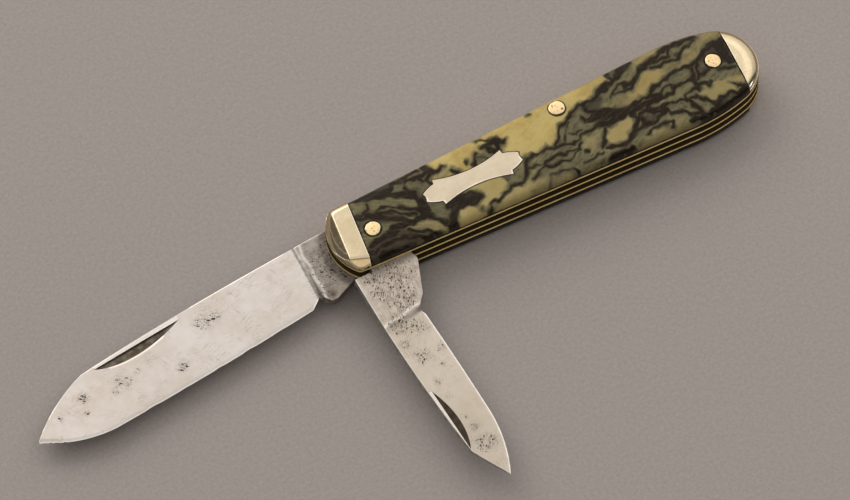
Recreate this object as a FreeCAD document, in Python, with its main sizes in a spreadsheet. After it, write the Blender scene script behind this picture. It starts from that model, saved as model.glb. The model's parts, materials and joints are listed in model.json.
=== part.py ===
import FreeCAD, Part
import math
import os
import Sketcher

# Folding jack knife lying on its pile side: two blades on one pivot, two backsprings, three liners
# Millimetres. +X runs to the cap end, +Y to the backs of the springs, +Z up through the mark side
# The origin is the middle of the flat pile side that the knife lies on

# Driving sizes, one sheet cell each, in millimetres or in degrees where the name ends in deg
SIZES = {
    # Handle outline, seen on its flat
    "handle_length": 86.4,
    "front_width": 12.94,
    "nose_bow": 2.5,
    "nose_corner_radius": 1.3,
    "end_radius": 7.7,
    "end_run": 16.5,
    "end_swell": 1.085,
    "outline_lean_deg": 0.3,
    # Stack of plates
    "scale_thickness": 2.4,
    "liner_thickness": 0.45,
    "spring_thickness": 1.75,
    "scale_edge_radius": 1.7,
    # Bolsters
    "front_bolster_length": 5.55,
    "front_joint_slant_deg": 8.0,
    "front_facet_run": 2.1,
    "front_facet_drop": 1.6,
    "belly_facet_turn_deg": 20.0,
    "belly_facet_inset": 0.21,
    "belly_facet_flare": 0.55,
    "back_facet_turn_deg": 1.0,
    "back_facet_inset": 0.87,
    "back_facet_flare": 0.9,
    "cap_length": 4.15,
    "cap_joint_slant_deg": 3.0,
    "cap_dome_radius": 1.6,
    "stud_diameter": 1.8,
    "front_stud_setback": 2.8,
    "cap_stud_setback": 2.1,
    # Pins
    "pin_diameter": 2.2,
    "head_diameter": 2.85,
    "head_height": 0.75,
    "head_chamfer": 0.2,
    "pivot_room": 2.4,
    "pivot_drop": 1.0,
    "spring_pin_reach": 41.0,
    "spring_pin_rise": 6.55,
    "end_pin_setback": 7.85,
    "end_pin_rise": 2.1,
    # Shield, an inlaid bar with four ears
    "shield_reach": 20.9,
    "shield_length": 19.4,
    "shield_end_width": 1.7,
    "shield_end_hollow": 0.2,
    "shield_body_width": 3.9,
    "shield_ear_span": 14.0,
    "shield_ear_width": 5.6,
    "shield_ear_step": 0.15,
    "shield_waist_width": 3.3,
    "shield_end_bow": 0.15,
    "shield_thickness": 0.6,
    "shield_proud": 0.04,
    "shield_pin_diameter": 1.0,
    "shield_pin_span": 9.0,
    # Tangs, alike on both blades
    "tang_flat": 3.4,
    "tang_corner_radius": 0.9,
    "shoulder_reach": 6.4,
    "closed_flat_reach": 4.0,
    "nose_reach": 2.5,
    "kick_seat_length": 1.6,
    "edge_room": 0.5,
    # Main blade, straight out from the pivot, with its point, belly and clip set by how they lie when shut
    "main_swing_deg": 172.0,
    "main_spine_rise": 6.25,
    "main_spine_bow": 0.53,
    "main_clip_back": 13.0,
    "main_clip_sink": 8.79146,
    "main_clip_bow": 0.8,
    "main_tip_room": 6.55,
    "main_tip_sink": 1.98538,
    "main_belly_bow": 1.05,
    "main_belly_back": 13.9,
    "main_belly_lift": 3.71215,
    "main_edge_bow": 0.25,
    "main_heel_step": 2.2,
    "main_heel_drop": 7.0,
    "main_choil_step": 1.3,
    "main_choil_drop": 5.2,
    "main_ricasso_step": 0.9,
    "main_ricasso_drop": 7.1,
    "main_kick_reach": 11.4,
    "main_kick_drop": 7.55,
    "main_grind_step": 0.3,
    "main_grind_droop_deg": 6.5,
    "main_grind_high": 7.6,
    "main_grind_low": 5.25,
    "main_nick_back": 25.1,
    "main_nick_high": 6.69,
    "main_nick_length": 18.2,
    "main_nick_width": 1.9,
    # Pen blade, measured the same way
    "pen_half_stop_deg": 90.0,
    "pen_close_deg": 86.0,
    "pen_spine_rise": 7.04,
    "pen_spine_bow": 0.72,
    "pen_clip_back": 6.6,
    "pen_clip_rise": 5.0,
    "pen_clip_bow": 0.05,
    "pen_tip_room": 23.65,
    "pen_tip_rise": 1.0,
    "pen_belly_bow": 0.78,
    "pen_belly_back": 13.8,
    "pen_belly_drop": 1.9,
    "pen_edge_bow": 0.1,
    "pen_heel_step": 1.4,
    "pen_heel_drop": 1.1,
    "pen_choil_step": 2.2,
    "pen_choil_drop": 0.6,
    "pen_ricasso_step": 7.1,
    "pen_ricasso_drop": 2.5,
    "pen_kick_reach": 7.5,
    "pen_kick_drop": 5.2,
    "pen_grind_step": 1.8,
    "pen_grind_droop_deg": 2.0,
    "pen_grind_high": 7.55,
    "pen_grind_low": 0.47,
    "pen_nick_back": 15.0,
    "pen_nick_high": 6.69,
    "pen_nick_length": 13.6,
    "pen_nick_width": 1.4,
    # Blade sections
    "grind_spine": 1.5,
    "grind_edge": 0.3,
    "nick_floor": 0.3,
    # Clearances
    "side_gap": 0.03,
    "flat_gap": 0.03,
    "pivot_gap": 0.04,
    "fit_gap": 0.02,
    # How far a cutting outline runs past the solid it cuts
    "overrun": 6.0,
}

doc = FreeCAD.newDocument("jack_knife")
sheet = doc.addObject("Spreadsheet::Sheet", "Sizes")
for row, (alias, number) in enumerate(SIZES.items(), start=1):
    sheet.set(f"A{row}", alias)
    sheet.set(f"B{row}", str(number))
    sheet.setAlias(f"B{row}", alias)
doc.recompute()


class Dim:
    """A size worked out from the sheet: its value now and the expression that follows the cells."""

    def __init__(self, value, text):
        self.value = float(value)
        self.text = text

    def __add__(self, other):
        other = as_dim(other)
        return Dim(self.value + other.value, f"({self.text} + {other.text})")

    def __sub__(self, other):
        other = as_dim(other)
        return Dim(self.value - other.value, f"({self.text} - {other.text})")

    def __mul__(self, other):
        other = as_dim(other)
        return Dim(self.value * other.value, f"({self.text} * {other.text})")

    def __truediv__(self, other):
        other = as_dim(other)
        return Dim(self.value / other.value, f"({self.text} / {other.text})")

    def __neg__(self):
        return Dim(-self.value, f"(0 - {self.text})")


def as_dim(number):
    """A plain number as a Dim, and a Dim as it is."""
    return number if isinstance(number, Dim) else Dim(number, repr(number))


def size(alias):
    """The sheet cell of that alias."""
    return Dim(sheet.get(alias), f"Sizes.{alias}")


def tan_of(angle):
    return Dim(math.tan(math.radians(angle.value)), f"tan({angle.text})")


def sin_of(angle):
    return Dim(math.sin(math.radians(angle.value)), f"sin({angle.text})")


def cos_of(angle):
    return Dim(math.cos(math.radians(angle.value)), f"cos({angle.text})")


def bind(item, prop, dim):
    """Tie a property to the cells, where the size comes from any."""
    if "Sizes." in dim.text:
        item.setExpression(prop, dim.text)


ZERO = as_dim(0)
half_length = size("handle_length") / 2
overrun = size("overrun")
fit_gap = size("fit_gap")
half_spring = size("spring_thickness") / 2
blade_thickness = size("spring_thickness") - size("side_gap") * 2

# Heights of the plates, counted up from the pile face
pile_seat = size("scale_thickness")
main_slot = pile_seat + size("liner_thickness")
centre_seat = main_slot + size("spring_thickness")
pen_slot = centre_seat + size("liner_thickness")
mark_liner_seat = pen_slot + size("spring_thickness")
mark_seat = mark_liner_seat + size("liner_thickness")
stack_height = mark_seat + size("scale_thickness")

# Places on the handle, from the pivot that the blades are measured from
front_joint_x = size("front_bolster_length") - half_length
cap_joint_x = half_length - size("cap_length")
pivot_x = front_joint_x + size("pivot_room")
pivot_y = -size("pivot_drop")
pin_places = {
    "pivot_pin": (pivot_x, pivot_y),
    "spring_pin": (pivot_x + size("spring_pin_reach"), pivot_y + size("spring_pin_rise")),
    "end_pin": (half_length - size("end_pin_setback"), pivot_y + size("end_pin_rise")),
}
front_stud_x = size("front_stud_setback") - half_length
cap_stud_x = half_length - size("cap_stud_setback")
shield_x = pivot_x + size("shield_reach")


def new_body(name):
    """An empty body whose label names its file."""
    body = doc.addObject("PartDesign::Body", name)
    body.Label = name
    return body


def place(body, x, y, z):
    """Put a body at a bound place."""
    body.Placement = FreeCAD.Placement(FreeCAD.Vector(x.value, y.value, z.value), FreeCAD.Rotation())
    bind(body, "Placement.Base.x", x)
    bind(body, "Placement.Base.y", y)
    bind(body, "Placement.Base.z", z)


def new_sketch(body, name, role="XY_Plane", lift=ZERO, turn=None, axis=(0, 1, 0), shift=ZERO):
    """A sketch on one of the body's own planes, lifted off it, slid along it and turned about an axis."""
    plane = next(item for item in body.Origin.OriginFeatures if item.Role == role)
    sketch = body.newObject("Sketcher::SketchObject", f"{body.Name}_{name}")
    sketch.AttachmentSupport = [(plane, "")]
    sketch.MapMode = "FlatFace"
    angle = turn if turn is not None else ZERO
    rotation = FreeCAD.Rotation(FreeCAD.Vector(*axis), angle.value)
    sketch.AttachmentOffset = FreeCAD.Placement(FreeCAD.Vector(shift.value, 0, lift.value), rotation)
    bind(sketch, "AttachmentOffset.Base.x", shift)
    bind(sketch, "AttachmentOffset.Base.z", lift)
    bind(sketch, "AttachmentOffset.Rotation.Angle", angle)
    return sketch


def pin_down(sketch, geo, end, x, y):
    """Fix one end of a piece of geometry at a bound point of the sketch."""
    for kind, dim, across in (("DistanceX", x, -2), ("DistanceY", y, -1)):
        if dim is ZERO:
            sketch.addConstraint(Sketcher.Constraint("PointOnObject", geo, end, across))
            continue
        index = sketch.addConstraint(Sketcher.Constraint(kind, -1, 1, geo, end, dim.value))
        bind(sketch, f"Constraints[{index}]", dim)


def add_loop(sketch, corners):
    """A closed loop of bound corners, each (x, y) by a line or (x, y, bow) by an arc bowed to the left."""
    ends = []
    count = len(corners)
    for number in range(count):
        start = corners[number]
        finish = corners[(number + 1) % count]
        p = FreeCAD.Vector(start[0].value, start[1].value, 0)
        q = FreeCAD.Vector(finish[0].value, finish[1].value, 0)
        if len(finish) < 3:
            ends.append((sketch.addGeometry(Part.LineSegment(p, q)), 1, 2))
            continue
        bow = finish[2]
        chord = q - p
        left = FreeCAD.Vector(-chord.y, chord.x, 0).normalize()
        top = (p + q) * 0.5 + left * bow.value
        if bow.value > 0:
            ends.append((sketch.addGeometry(Part.Arc(q, top, p)), 2, 1))
            depth = bow
        else:
            ends.append((sketch.addGeometry(Part.Arc(p, top, q)), 1, 2))
            depth = -bow
        dx = finish[0] - start[0]
        dy = finish[1] - start[1]
        radius = (dx * dx + dy * dy) / (depth * 8) + depth / 2
        index = sketch.addConstraint(Sketcher.Constraint("Radius", ends[-1][0], radius.value))
        bind(sketch, f"Constraints[{index}]", radius)
    for number in range(count):
        geo, first, last = ends[number]
        after, after_first, _ = ends[(number + 1) % count]
        sketch.addConstraint(Sketcher.Constraint("Coincident", geo, last, after, after_first))
        pin_down(sketch, geo, first, *corners[number][:2])


def add_circle(sketch, x, y, diameter):
    """A bound circle."""
    centre = FreeCAD.Vector(x.value, y.value, 0)
    geo = sketch.addGeometry(Part.Circle(centre, FreeCAD.Vector(0, 0, 1), diameter.value / 2))
    pin_down(sketch, geo, 3, x, y)
    index = sketch.addConstraint(Sketcher.Constraint("Diameter", geo, diameter.value))
    bind(sketch, f"Constraints[{index}]", diameter)


def pad(body, name, sketch, length, downwards=False, symmetric=False):
    """Raise a sketch by a bound length."""
    feature = body.newObject("PartDesign::Pad", f"{body.Name}_{name}")
    feature.Profile = sketch
    feature.Length = length.value
    bind(feature, "Length", length)
    feature.Reversed = downwards
    if symmetric:
        feature.SideType = "Symmetric"
    doc.recompute()
    return feature


def pocket(body, name, sketch, depth=None, upwards=False, both_ways=True):
    """Cut a sketch to a bound depth or right through, and stop if nothing was cut."""
    before = body.Shape.Volume
    feature = body.newObject("PartDesign::Pocket", f"{body.Name}_{name}")
    feature.Profile = sketch
    feature.Reversed = upwards
    if depth is None:
        feature.Type = "ThroughAll"
        if both_ways:
            feature.SideType = "Symmetric"
    else:
        feature.Length = depth.value
        bind(feature, "Length", depth)
    doc.recompute()
    if not body.Shape.Volume < before:
        raise RuntimeError(f"{feature.Name} cut nothing")
    return feature


def fillet(body, name, radius, chosen):
    """Round the edges of the body that the rule chooses."""
    base = body.Tip
    names = [f"Edge{n}" for n, edge in enumerate(base.Shape.Edges, start=1) if chosen(edge)]
    if not names:
        raise RuntimeError(f"{body.Name} has no edge to round for {name}")
    feature = body.newObject("PartDesign::Fillet", f"{body.Name}_{name}")
    feature.Base = (base, names)
    feature.Radius = radius.value
    bind(feature, "Radius", radius)
    doc.recompute()
    return feature


def upright(edge):
    """Whether an edge is a straight one along Z."""
    ends = [vertex.Point for vertex in edge.Vertexes]
    if len(ends) < 2:
        return False
    run = ends[1] - ends[0]
    return math.hypot(run.x, run.y) < 1e-6 * run.Length


def middle(edge):
    """The point half way along an edge."""
    return edge.valueAt((edge.FirstParameter + edge.LastParameter) / 2)


def add_handle_outline(sketch):
    """The handle's outline: a bowed nose, straight sides that widen, then a sweep into a round end."""
    width = size("front_width")
    bow = size("nose_bow")
    radius = size("end_radius")
    corner_x = bow - half_length
    end_x = half_length - radius
    turn_x = half_length - size("end_run")
    turn_width = (radius + size("end_swell")) * 2
    nose_radius = (width * width / 4 + bow * bow) / (bow * 2)
    upper = FreeCAD.Vector(corner_x.value, width.value / 2, 0)
    turn = FreeCAD.Vector(turn_x.value, turn_width.value / 2, 0)
    end_centre = FreeCAD.Vector(end_x.value, 0, 0)
    side = (turn - upper).normalize()
    inward = FreeCAD.Vector(side.y, -side.x, 0)
    across = turn - end_centre
    sweep = (radius.value**2 - across.dot(across)) / (2 * (inward.dot(across) + radius.value))
    sweep_centre = turn + inward * sweep
    touch = end_centre + (end_centre - sweep_centre).normalize() * radius.value
    half_way = ((turn - sweep_centre) + (touch - sweep_centre)).normalize()
    crest = sweep_centre + half_way * sweep
    lower, low_turn, low_crest, low_touch = (
        FreeCAD.Vector(point.x, -point.y, 0) for point in (upper, turn, crest, touch)
    )
    tip = FreeCAD.Vector(-half_length.value, 0, 0)
    end = FreeCAD.Vector(half_length.value, 0, 0)
    nose = sketch.addGeometry(Part.Arc(upper, tip, lower))
    belly = sketch.addGeometry(Part.LineSegment(lower, low_turn))
    belly_sweep = sketch.addGeometry(Part.Arc(low_turn, low_crest, low_touch))
    round_end = sketch.addGeometry(Part.Arc(low_touch, end, touch))
    back_sweep = sketch.addGeometry(Part.Arc(touch, crest, turn))
    back = sketch.addGeometry(Part.LineSegment(turn, upper))
    sketch.addConstraint(Sketcher.Constraint("Coincident", nose, 2, belly, 1))
    sketch.addConstraint(Sketcher.Constraint("Tangent", belly, 2, belly_sweep, 1))
    sketch.addConstraint(Sketcher.Constraint("Tangent", belly_sweep, 2, round_end, 1))
    sketch.addConstraint(Sketcher.Constraint("Tangent", round_end, 2, back_sweep, 1))
    sketch.addConstraint(Sketcher.Constraint("Tangent", back_sweep, 2, back, 1))
    sketch.addConstraint(Sketcher.Constraint("Coincident", back, 2, nose, 1))
    sketch.addConstraint(Sketcher.Constraint("Symmetric", nose, 1, nose, 2, -1))
    sketch.addConstraint(Sketcher.Constraint("Symmetric", back, 1, belly, 2, -1))
    sketch.addConstraint(Sketcher.Constraint("PointOnObject", round_end, 3, -1))
    for kind, where, dim in (
        ("DistanceY", (nose, 2, nose, 1), width),
        ("DistanceX", (-1, 1, nose, 1), corner_x),
        ("Radius", (nose,), nose_radius),
        ("Radius", (round_end,), radius),
        ("DistanceX", (-1, 1, round_end, 3), end_x),
        ("DistanceX", (-1, 1, back, 1), turn_x),
        ("DistanceY", (belly, 2, back, 1), turn_width),
    ):
        index = sketch.addConstraint(Sketcher.Constraint(kind, *where, dim.value))
        bind(sketch, f"Constraints[{index}]", dim)


def plate(name, seat, thickness, downwards=False):
    """A body cut to the handle's outline, with its nose corners eased."""
    body = new_body(name)
    sketch = new_sketch(body, "outline", lift=seat, turn=size("outline_lean_deg"), axis=(0, 0, 1))
    add_handle_outline(sketch)
    pad(body, "plate", sketch, thickness, downwards)
    corner_x = size("nose_bow").value - half_length.value
    corner_room = size("nose_corner_radius").value
    fillet(
        body,
        "nose_corners",
        size("nose_corner_radius"),
        lambda edge: upright(edge) and abs(middle(edge).x - corner_x) < corner_room,
    )
    return body


def cut_at_joint(body, name, joint_x, slant, towards):
    """Cut a plate away on one side of a slanted joint line, towards -1 the nose or +1 the cap."""
    reach = size("end_radius") + size("end_swell") + overrun
    lean = reach * tan_of(slant)
    far = (half_length + overrun) * towards
    sketch = new_sketch(body, name)
    loop = [
        (joint_x + lean, reach),
        (joint_x - lean, -reach),
        (far, -reach),
        (far, reach),
    ]
    add_loop(sketch, loop if towards > 0 else loop[::-1])
    pocket(body, name, sketch)


def drill(body, name, places, diameter):
    """Bore through holes at the places given."""
    sketch = new_sketch(body, name)
    for x, y in places:
        add_circle(sketch, x, y, diameter)
    pocket(body, name, sketch)


def build_liner(name, seat, with_studs):
    """A liner plate, bored for the pins and for the bolsters' studs."""
    body = plate(name, seat, size("liner_thickness"))
    drill(body, "pin_holes", pin_places.values(), size("pin_diameter") + fit_gap * 2)
    if with_studs:
        studs = [(front_stud_x, ZERO), (cap_stud_x, ZERO)]
        drill(body, "stud_holes", studs, size("stud_diameter") + fit_gap * 2)
    return body


def shield_loop():
    """The shield's outline about its own middle, on the handle's centre line."""
    end = size("shield_length") / 2
    end_half = size("shield_end_width") / 2
    body_half = size("shield_body_width") / 2
    ear = size("shield_ear_span") / 2
    ear_half = size("shield_ear_width") / 2
    inner_ear = ear - size("shield_ear_step")
    hollow = size("shield_end_hollow")
    waist = ear_half - size("shield_waist_width") / 2
    bow = size("shield_end_bow")
    left = shield_x - end
    right = shield_x + end
    return [
        (left, -end_half, hollow),
        (shield_x - ear, -body_half, -bow),
        (shield_x - inner_ear, -ear_half),
        (shield_x + inner_ear, -ear_half, waist),
        (shield_x + ear, -body_half),
        (right, -end_half, -bow),
        (right, end_half, hollow),
        (shield_x + ear, body_half, -bow),
        (shield_x + inner_ear, ear_half),
        (shield_x - inner_ear, ear_half, waist),
        (shield_x - ear, body_half),
        (left, end_half, -bow),
    ]


def shield_pin_places():
    """Where the two pins hold the shield down."""
    half = size("shield_pin_span") / 2
    return [(shield_x - half, ZERO), (shield_x + half, ZERO)]


def build_scale(name, seat, outer, downwards):
    """A handle scale between the bolsters, with rounded long edges and seats for the pin heads."""
    body = plate(name, seat, size("scale_thickness"), downwards)
    cut_at_joint(body, "front_joint", front_joint_x, size("front_joint_slant_deg"), -1)
    cut_at_joint(body, "cap_joint", cap_joint_x, size("cap_joint_slant_deg"), 1)
    side_line = size("front_width").value / 4
    outer_tolerance = fit_gap.value
    fillet(
        body,
        "long_edges",
        size("scale_edge_radius"),
        lambda edge: abs(middle(edge).z - outer.value) < outer_tolerance and abs(middle(edge).y) > side_line,
    )
    drill(body, "pin_holes", pin_places.values(), size("pin_diameter") + fit_gap * 2)
    seats = new_sketch(body, "head_seats", lift=outer)
    for x, y in pin_places.values():
        add_circle(seats, x, y, size("head_diameter") + fit_gap * 2)
    pocket(body, "head_seats", seats, size("head_height") + fit_gap, upwards=downwards)
    return body


def build_front_bolster(name, seat, outer, downwards):
    """A tip bolster: a flat band, a long facet to the nose, a facet down each side and a stud."""
    body = plate(name, seat, size("scale_thickness"), downwards)
    cut_at_joint(body, "joint", front_joint_x, size("front_joint_slant_deg"), 1)
    up = -1 if downwards else 1
    slant = size("front_joint_slant_deg")
    run = size("front_facet_run")
    drop = size("front_facet_drop")
    crease = (run - half_length) * cos_of(slant)
    deep = outer - drop * (2 * up)
    clear = outer + overrun * up
    facet = new_sketch(body, "nose_facet", "XZ_Plane", turn=slant, axis=(0, -1, 0))
    add_loop(facet, [(crease, outer), (crease - run * 2, deep), (crease - run * 2, clear), (crease, clear)])
    pocket(body, "nose_facet", facet)
    foot = outer - size("scale_thickness") * (2 * up)
    for side, label in ((-1, "belly_facet"), (1, "back_facet")):
        reach = size("front_width") / 2 - size(f"{label}_inset")
        wide = reach + size(f"{label}_flare") * 2
        far = reach + overrun
        facet = new_sketch(
            body,
            label,
            "YZ_Plane",
            lift=front_joint_x,
            turn=size(f"{label}_turn_deg"),
            axis=(0, side, 0),
        )
        loop = [(reach, outer), (wide, foot), (far, foot), (far, clear), (reach, clear)]
        add_loop(facet, [(u * side, z) for u, z in loop])
        pocket(body, label, facet)
    add_stud(body, front_stud_x, seat, downwards)
    return body


def build_cap_bolster(name, seat, outer, downwards):
    """A cap bolster, domed round the end of the handle, with its stud."""
    body = plate(name, seat, size("scale_thickness"), downwards)
    cut_at_joint(body, "joint", cap_joint_x, size("cap_joint_slant_deg"), -1)
    outer_tolerance = fit_gap.value
    joint_room = cap_joint_x.value + size("cap_length").value / 2
    fillet(
        body,
        "dome",
        size("cap_dome_radius"),
        lambda edge: abs(middle(edge).z - outer.value) < outer_tolerance and middle(edge).x > joint_room,
    )
    add_stud(body, cap_stud_x, seat, downwards)
    return body


def add_stud(body, x, seat, downwards):
    """The stud that holds a bolster in its liner."""
    sketch = new_sketch(body, "stud", lift=seat)
    add_circle(sketch, x, ZERO, size("stud_diameter"))
    pad(body, "stud", sketch, size("liner_thickness"), not downwards)


def blade_reach(kind, word):
    """How far a place on a blade lies from the pivot, counted back from the tip or on from the kick."""
    tip = half_length - pivot_x - size(f"{kind}_tip_room")
    ricasso = size(f"{kind}_kick_reach") + size(f"{kind}_ricasso_step")
    choil = ricasso + size(f"{kind}_choil_step")
    near = {"tip": tip, "ricasso": ricasso, "choil": choil}
    if word in near:
        return near[word]
    if word == "heel":
        return choil + size(f"{kind}_heel_step")
    if word == "grind":
        return ricasso + size(f"{kind}_grind_step")
    return tip - size(f"{kind}_{word}_back")


def main_height(word):
    """How high a place on the main blade lies when open, from how it lies over the pivot when shut."""
    shut = size("main_swing_deg")
    over = size("main_belly_lift") if word == "belly" else -size(f"main_{word}_sink")
    return (over + blade_reach("main", word) * sin_of(shut)) / cos_of(shut)


def swung(reach, rise, angle):
    """A point ahead of the pivot, turned with its blade through an angle."""
    x = -(reach * cos_of(angle)) - rise * sin_of(angle)
    y = rise * cos_of(angle) - reach * sin_of(angle)
    return pivot_x + x, pivot_y + y


def build_spring(name, slot):
    """A backspring: flush with the back, a nose on the tang, a seat for the kick and room for the edge."""
    body = plate(name, slot, size("spring_thickness"))
    swing = size("main_swing_deg")
    gap = size("flat_gap")
    room = size("edge_room")
    nose_y = pivot_y + size("tang_flat") + gap
    tip_x = pivot_x - size("shoulder_reach") + gap
    kick_x, kick_y = swung(size("main_kick_reach"), -size("main_kick_drop"), swing)
    heel_x, heel_y = swung(blade_reach("main", "heel"), -size("main_heel_drop"), swing)
    belly_x, belly_y = swung(blade_reach("main", "belly"), main_height("belly"), swing)
    point_x, point_y = swung(blade_reach("main", "tip"), main_height("tip"), swing)
    seat_half = size("kick_seat_length") / 2
    out_x = half_length + overrun
    out_y = size("end_radius") + size("end_swell") + overrun
    sketch = new_sketch(body, "underside")
    add_loop(
        sketch,
        [
            (tip_x, out_y),
            (-out_x, out_y),
            (-out_x, -out_y),
            (out_x, -out_y),
            (out_x, point_y + room),
            (point_x + room, point_y + room),
            (belly_x + room, belly_y + room, -size("main_belly_bow")),
            (heel_x, heel_y + room),
            (kick_x + seat_half, kick_y + gap),
            (kick_x - seat_half, kick_y + gap),
            (pivot_x + size("nose_reach"), nose_y),
            (tip_x, nose_y),
        ],
    )
    pocket(body, "underside", sketch)
    holes = [pin_places["spring_pin"], pin_places["end_pin"]]
    drill(body, "pin_holes", holes, size("pin_diameter") + fit_gap * 2)
    return body


def build_blade(name, kind, swing, belly_y, tip_y, clip_y):
    """A blade straight out along -X from its pivot: square tang, kick, choil, ground faces and nail nick."""
    body = new_body(name)
    flat = size("tang_flat")
    shoulder = -size("shoulder_reach")
    shut = swing - 90
    closed_x = flat * cos_of(shut)
    closed_y = flat * sin_of(shut)
    along = size("closed_flat_reach")
    lift = (flat - closed_x) * cos_of(shut) / sin_of(shut)

    def cell(word):
        return size(f"{kind}_{word}")

    outline = new_sketch(body, "outline")
    add_loop(
        outline,
        [
            (shoulder, cell("spine_rise"), cell("spine_bow")),
            (shoulder, flat),
            (flat, flat),
            (flat, lift - closed_y),
            (closed_x - along * sin_of(shut), -closed_y - along * cos_of(shut)),
            (-cell("kick_reach"), -cell("kick_drop")),
            (-blade_reach(kind, "ricasso"), -cell("ricasso_drop")),
            (-blade_reach(kind, "choil"), -cell("choil_drop")),
            (-blade_reach(kind, "heel"), -cell("heel_drop")),
            (-blade_reach(kind, "belly"), belly_y, cell("edge_bow")),
            (-blade_reach(kind, "tip"), tip_y, cell("belly_bow")),
            (-blade_reach(kind, "clip"), clip_y, cell("clip_bow")),
        ],
    )
    add_circle(outline, ZERO, ZERO, size("pin_diameter") + size("pivot_gap") * 2)
    pad(body, "plate", outline, blade_thickness, symmetric=True)
    heel_line = flat.value - fit_gap.value
    fillet(
        body,
        "tang_corners",
        size("tang_corner_radius"),
        lambda edge: upright(edge) and middle(edge).x > heel_line,
    )
    droop = cell("grind_droop_deg")
    start = blade_reach(kind, "grind")
    grind = new_sketch(
        body,
        "grind",
        "YZ_Plane",
        lift=-(start * cos_of(droop)),
        turn=droop,
        shift=-(start * sin_of(droop)),
    )
    spine = size("grind_spine") / 2
    edge = size("grind_edge") / 2
    high = cell("grind_high")
    low = -cell("grind_low")
    for side in (1, -1):
        loop = [
            (high + overrun, spine),
            (high, spine),
            (low, edge),
            (low - overrun, edge),
            (low - overrun, blade_thickness),
            (high + overrun, blade_thickness),
        ]
        add_loop(grind, [(v, z * side) for v, z in loop])
    pocket(body, "grind", grind, both_ways=False)
    nick = new_sketch(body, "nick", lift=blade_thickness / 2, turn=droop, axis=(0, 0, 1))
    half_nick = cell("nick_length") / 2
    near = half_nick - blade_reach(kind, "nick")
    ahead = -half_nick - blade_reach(kind, "nick")
    add_loop(nick, [(near, cell("nick_high"), -cell("nick_width")), (ahead, cell("nick_high"))])
    pocket(body, "nick", nick, blade_thickness / 2 - size("nick_floor"))
    return body


def build_pin(name):
    """A riveted pin from face to face, with a flat head let into each scale."""
    body = new_body(name)
    head = size("head_diameter") / 2
    shank = size("pin_diameter") / 2
    chamfer = size("head_chamfer")
    tall = size("head_height")
    sketch = new_sketch(body, "half_section", "XZ_Plane")
    add_loop(
        sketch,
        [
            (ZERO, ZERO),
            (head - chamfer, ZERO),
            (head, chamfer),
            (head, tall),
            (shank, tall),
            (shank, stack_height - tall),
            (head, stack_height - tall),
            (head, stack_height - chamfer),
            (head - chamfer, stack_height),
            (ZERO, stack_height),
        ],
    )
    feature = body.newObject("PartDesign::Revolution", f"{name}_turned")
    feature.Profile = sketch
    feature.ReferenceAxis = (sketch, ["V_Axis"])
    feature.Angle = 360
    doc.recompute()
    place(body, *pin_places[name], ZERO)
    return body


def build_shield():
    """The shield inlaid in the mark scale, and the two pins that hold it."""
    floor = stack_height + size("shield_proud") - size("shield_thickness")
    body = new_body("shield")
    sketch = new_sketch(body, "outline", lift=floor)
    add_loop(sketch, shield_loop())
    for x, y in shield_pin_places():
        add_circle(sketch, x, y, size("shield_pin_diameter") + fit_gap * 2)
    pad(body, "plate", sketch, size("shield_thickness"))
    pins = []
    for name, (x, y) in zip(("shield_front_pin", "shield_rear_pin"), shield_pin_places()):
        pin = new_body(name)
        sketch = new_sketch(pin, "section", lift=mark_seat)
        add_circle(sketch, x, y, size("shield_pin_diameter"))
        pad(pin, "shank", sketch, size("scale_thickness") + size("shield_proud"))
        pins.append(pin)
    return [body] + pins


def seat_shield(scale):
    """Let the shield and its pins into the mark scale."""
    recess = new_sketch(scale, "shield_seat", lift=stack_height)
    add_loop(recess, shield_loop())
    pocket(scale, "shield_seat", recess, size("shield_thickness") - size("shield_proud"))
    drill(scale, "shield_pin_holes", shield_pin_places(), size("shield_pin_diameter") + fit_gap * 2)


# Liners, from the pile side up
pieces = [
    build_liner("pile_liner", pile_seat, True),
    build_liner("centre_liner", centre_seat, False),
    build_liner("mark_liner", mark_liner_seat, True),
]

# Springs, one in each slot
pieces.append(build_spring("main_spring", main_slot))
pieces.append(build_spring("pen_spring", pen_slot))

# Scales, bolsters and the shield
mark_scale = build_scale("mark_scale", mark_seat, stack_height, False)
seat_shield(mark_scale)
pieces.append(mark_scale)
pieces.append(build_scale("pile_scale", pile_seat, ZERO, True))
pieces.append(build_front_bolster("mark_front_bolster", mark_seat, stack_height, False))
pieces.append(build_front_bolster("pile_front_bolster", pile_seat, ZERO, True))
pieces.append(build_cap_bolster("mark_cap_bolster", mark_seat, stack_height, False))
pieces.append(build_cap_bolster("pile_cap_bolster", pile_seat, ZERO, True))
pieces.extend(build_shield())

# Pins through the whole stack
pieces.extend(build_pin(name) for name in pin_places)

# Blades on the pivot, the main one straight out and the pen blade at its half stop
main_heights = [main_height(word) for word in ("belly", "tip", "clip")]
main_blade = build_blade("main_blade", "main", size("main_swing_deg"), *main_heights)
place(main_blade, pivot_x, pivot_y, main_slot + half_spring)
pen_swing = size("pen_half_stop_deg") + size("pen_close_deg")
pen_heights = [-size("pen_belly_drop"), size("pen_tip_rise"), size("pen_clip_rise")]
pen_blade = build_blade("pen_blade", "pen", pen_swing, *pen_heights)
place(pen_blade, pivot_x, pivot_y, pen_slot + half_spring)
half_stop = size("pen_half_stop_deg")
pen_blade.Placement = FreeCAD.Placement(
    pen_blade.Placement.Base, FreeCAD.Rotation(FreeCAD.Vector(0, 0, 1), half_stop.value)
)
bind(pen_blade, "Placement.Rotation.Angle", half_stop)
pieces.extend([main_blade, pen_blade])

doc.recompute()

# Every object has to be sound before anything is written
for item in doc.Objects:
    if "Invalid" in item.State or "Error" in item.State:
        raise RuntimeError(f"{item.Name} failed: {item.State}")
for piece in pieces:
    if piece.Shape.isNull() or not piece.Shape.isValid():
        raise RuntimeError(f"{piece.Label} has no sound shape")

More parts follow.
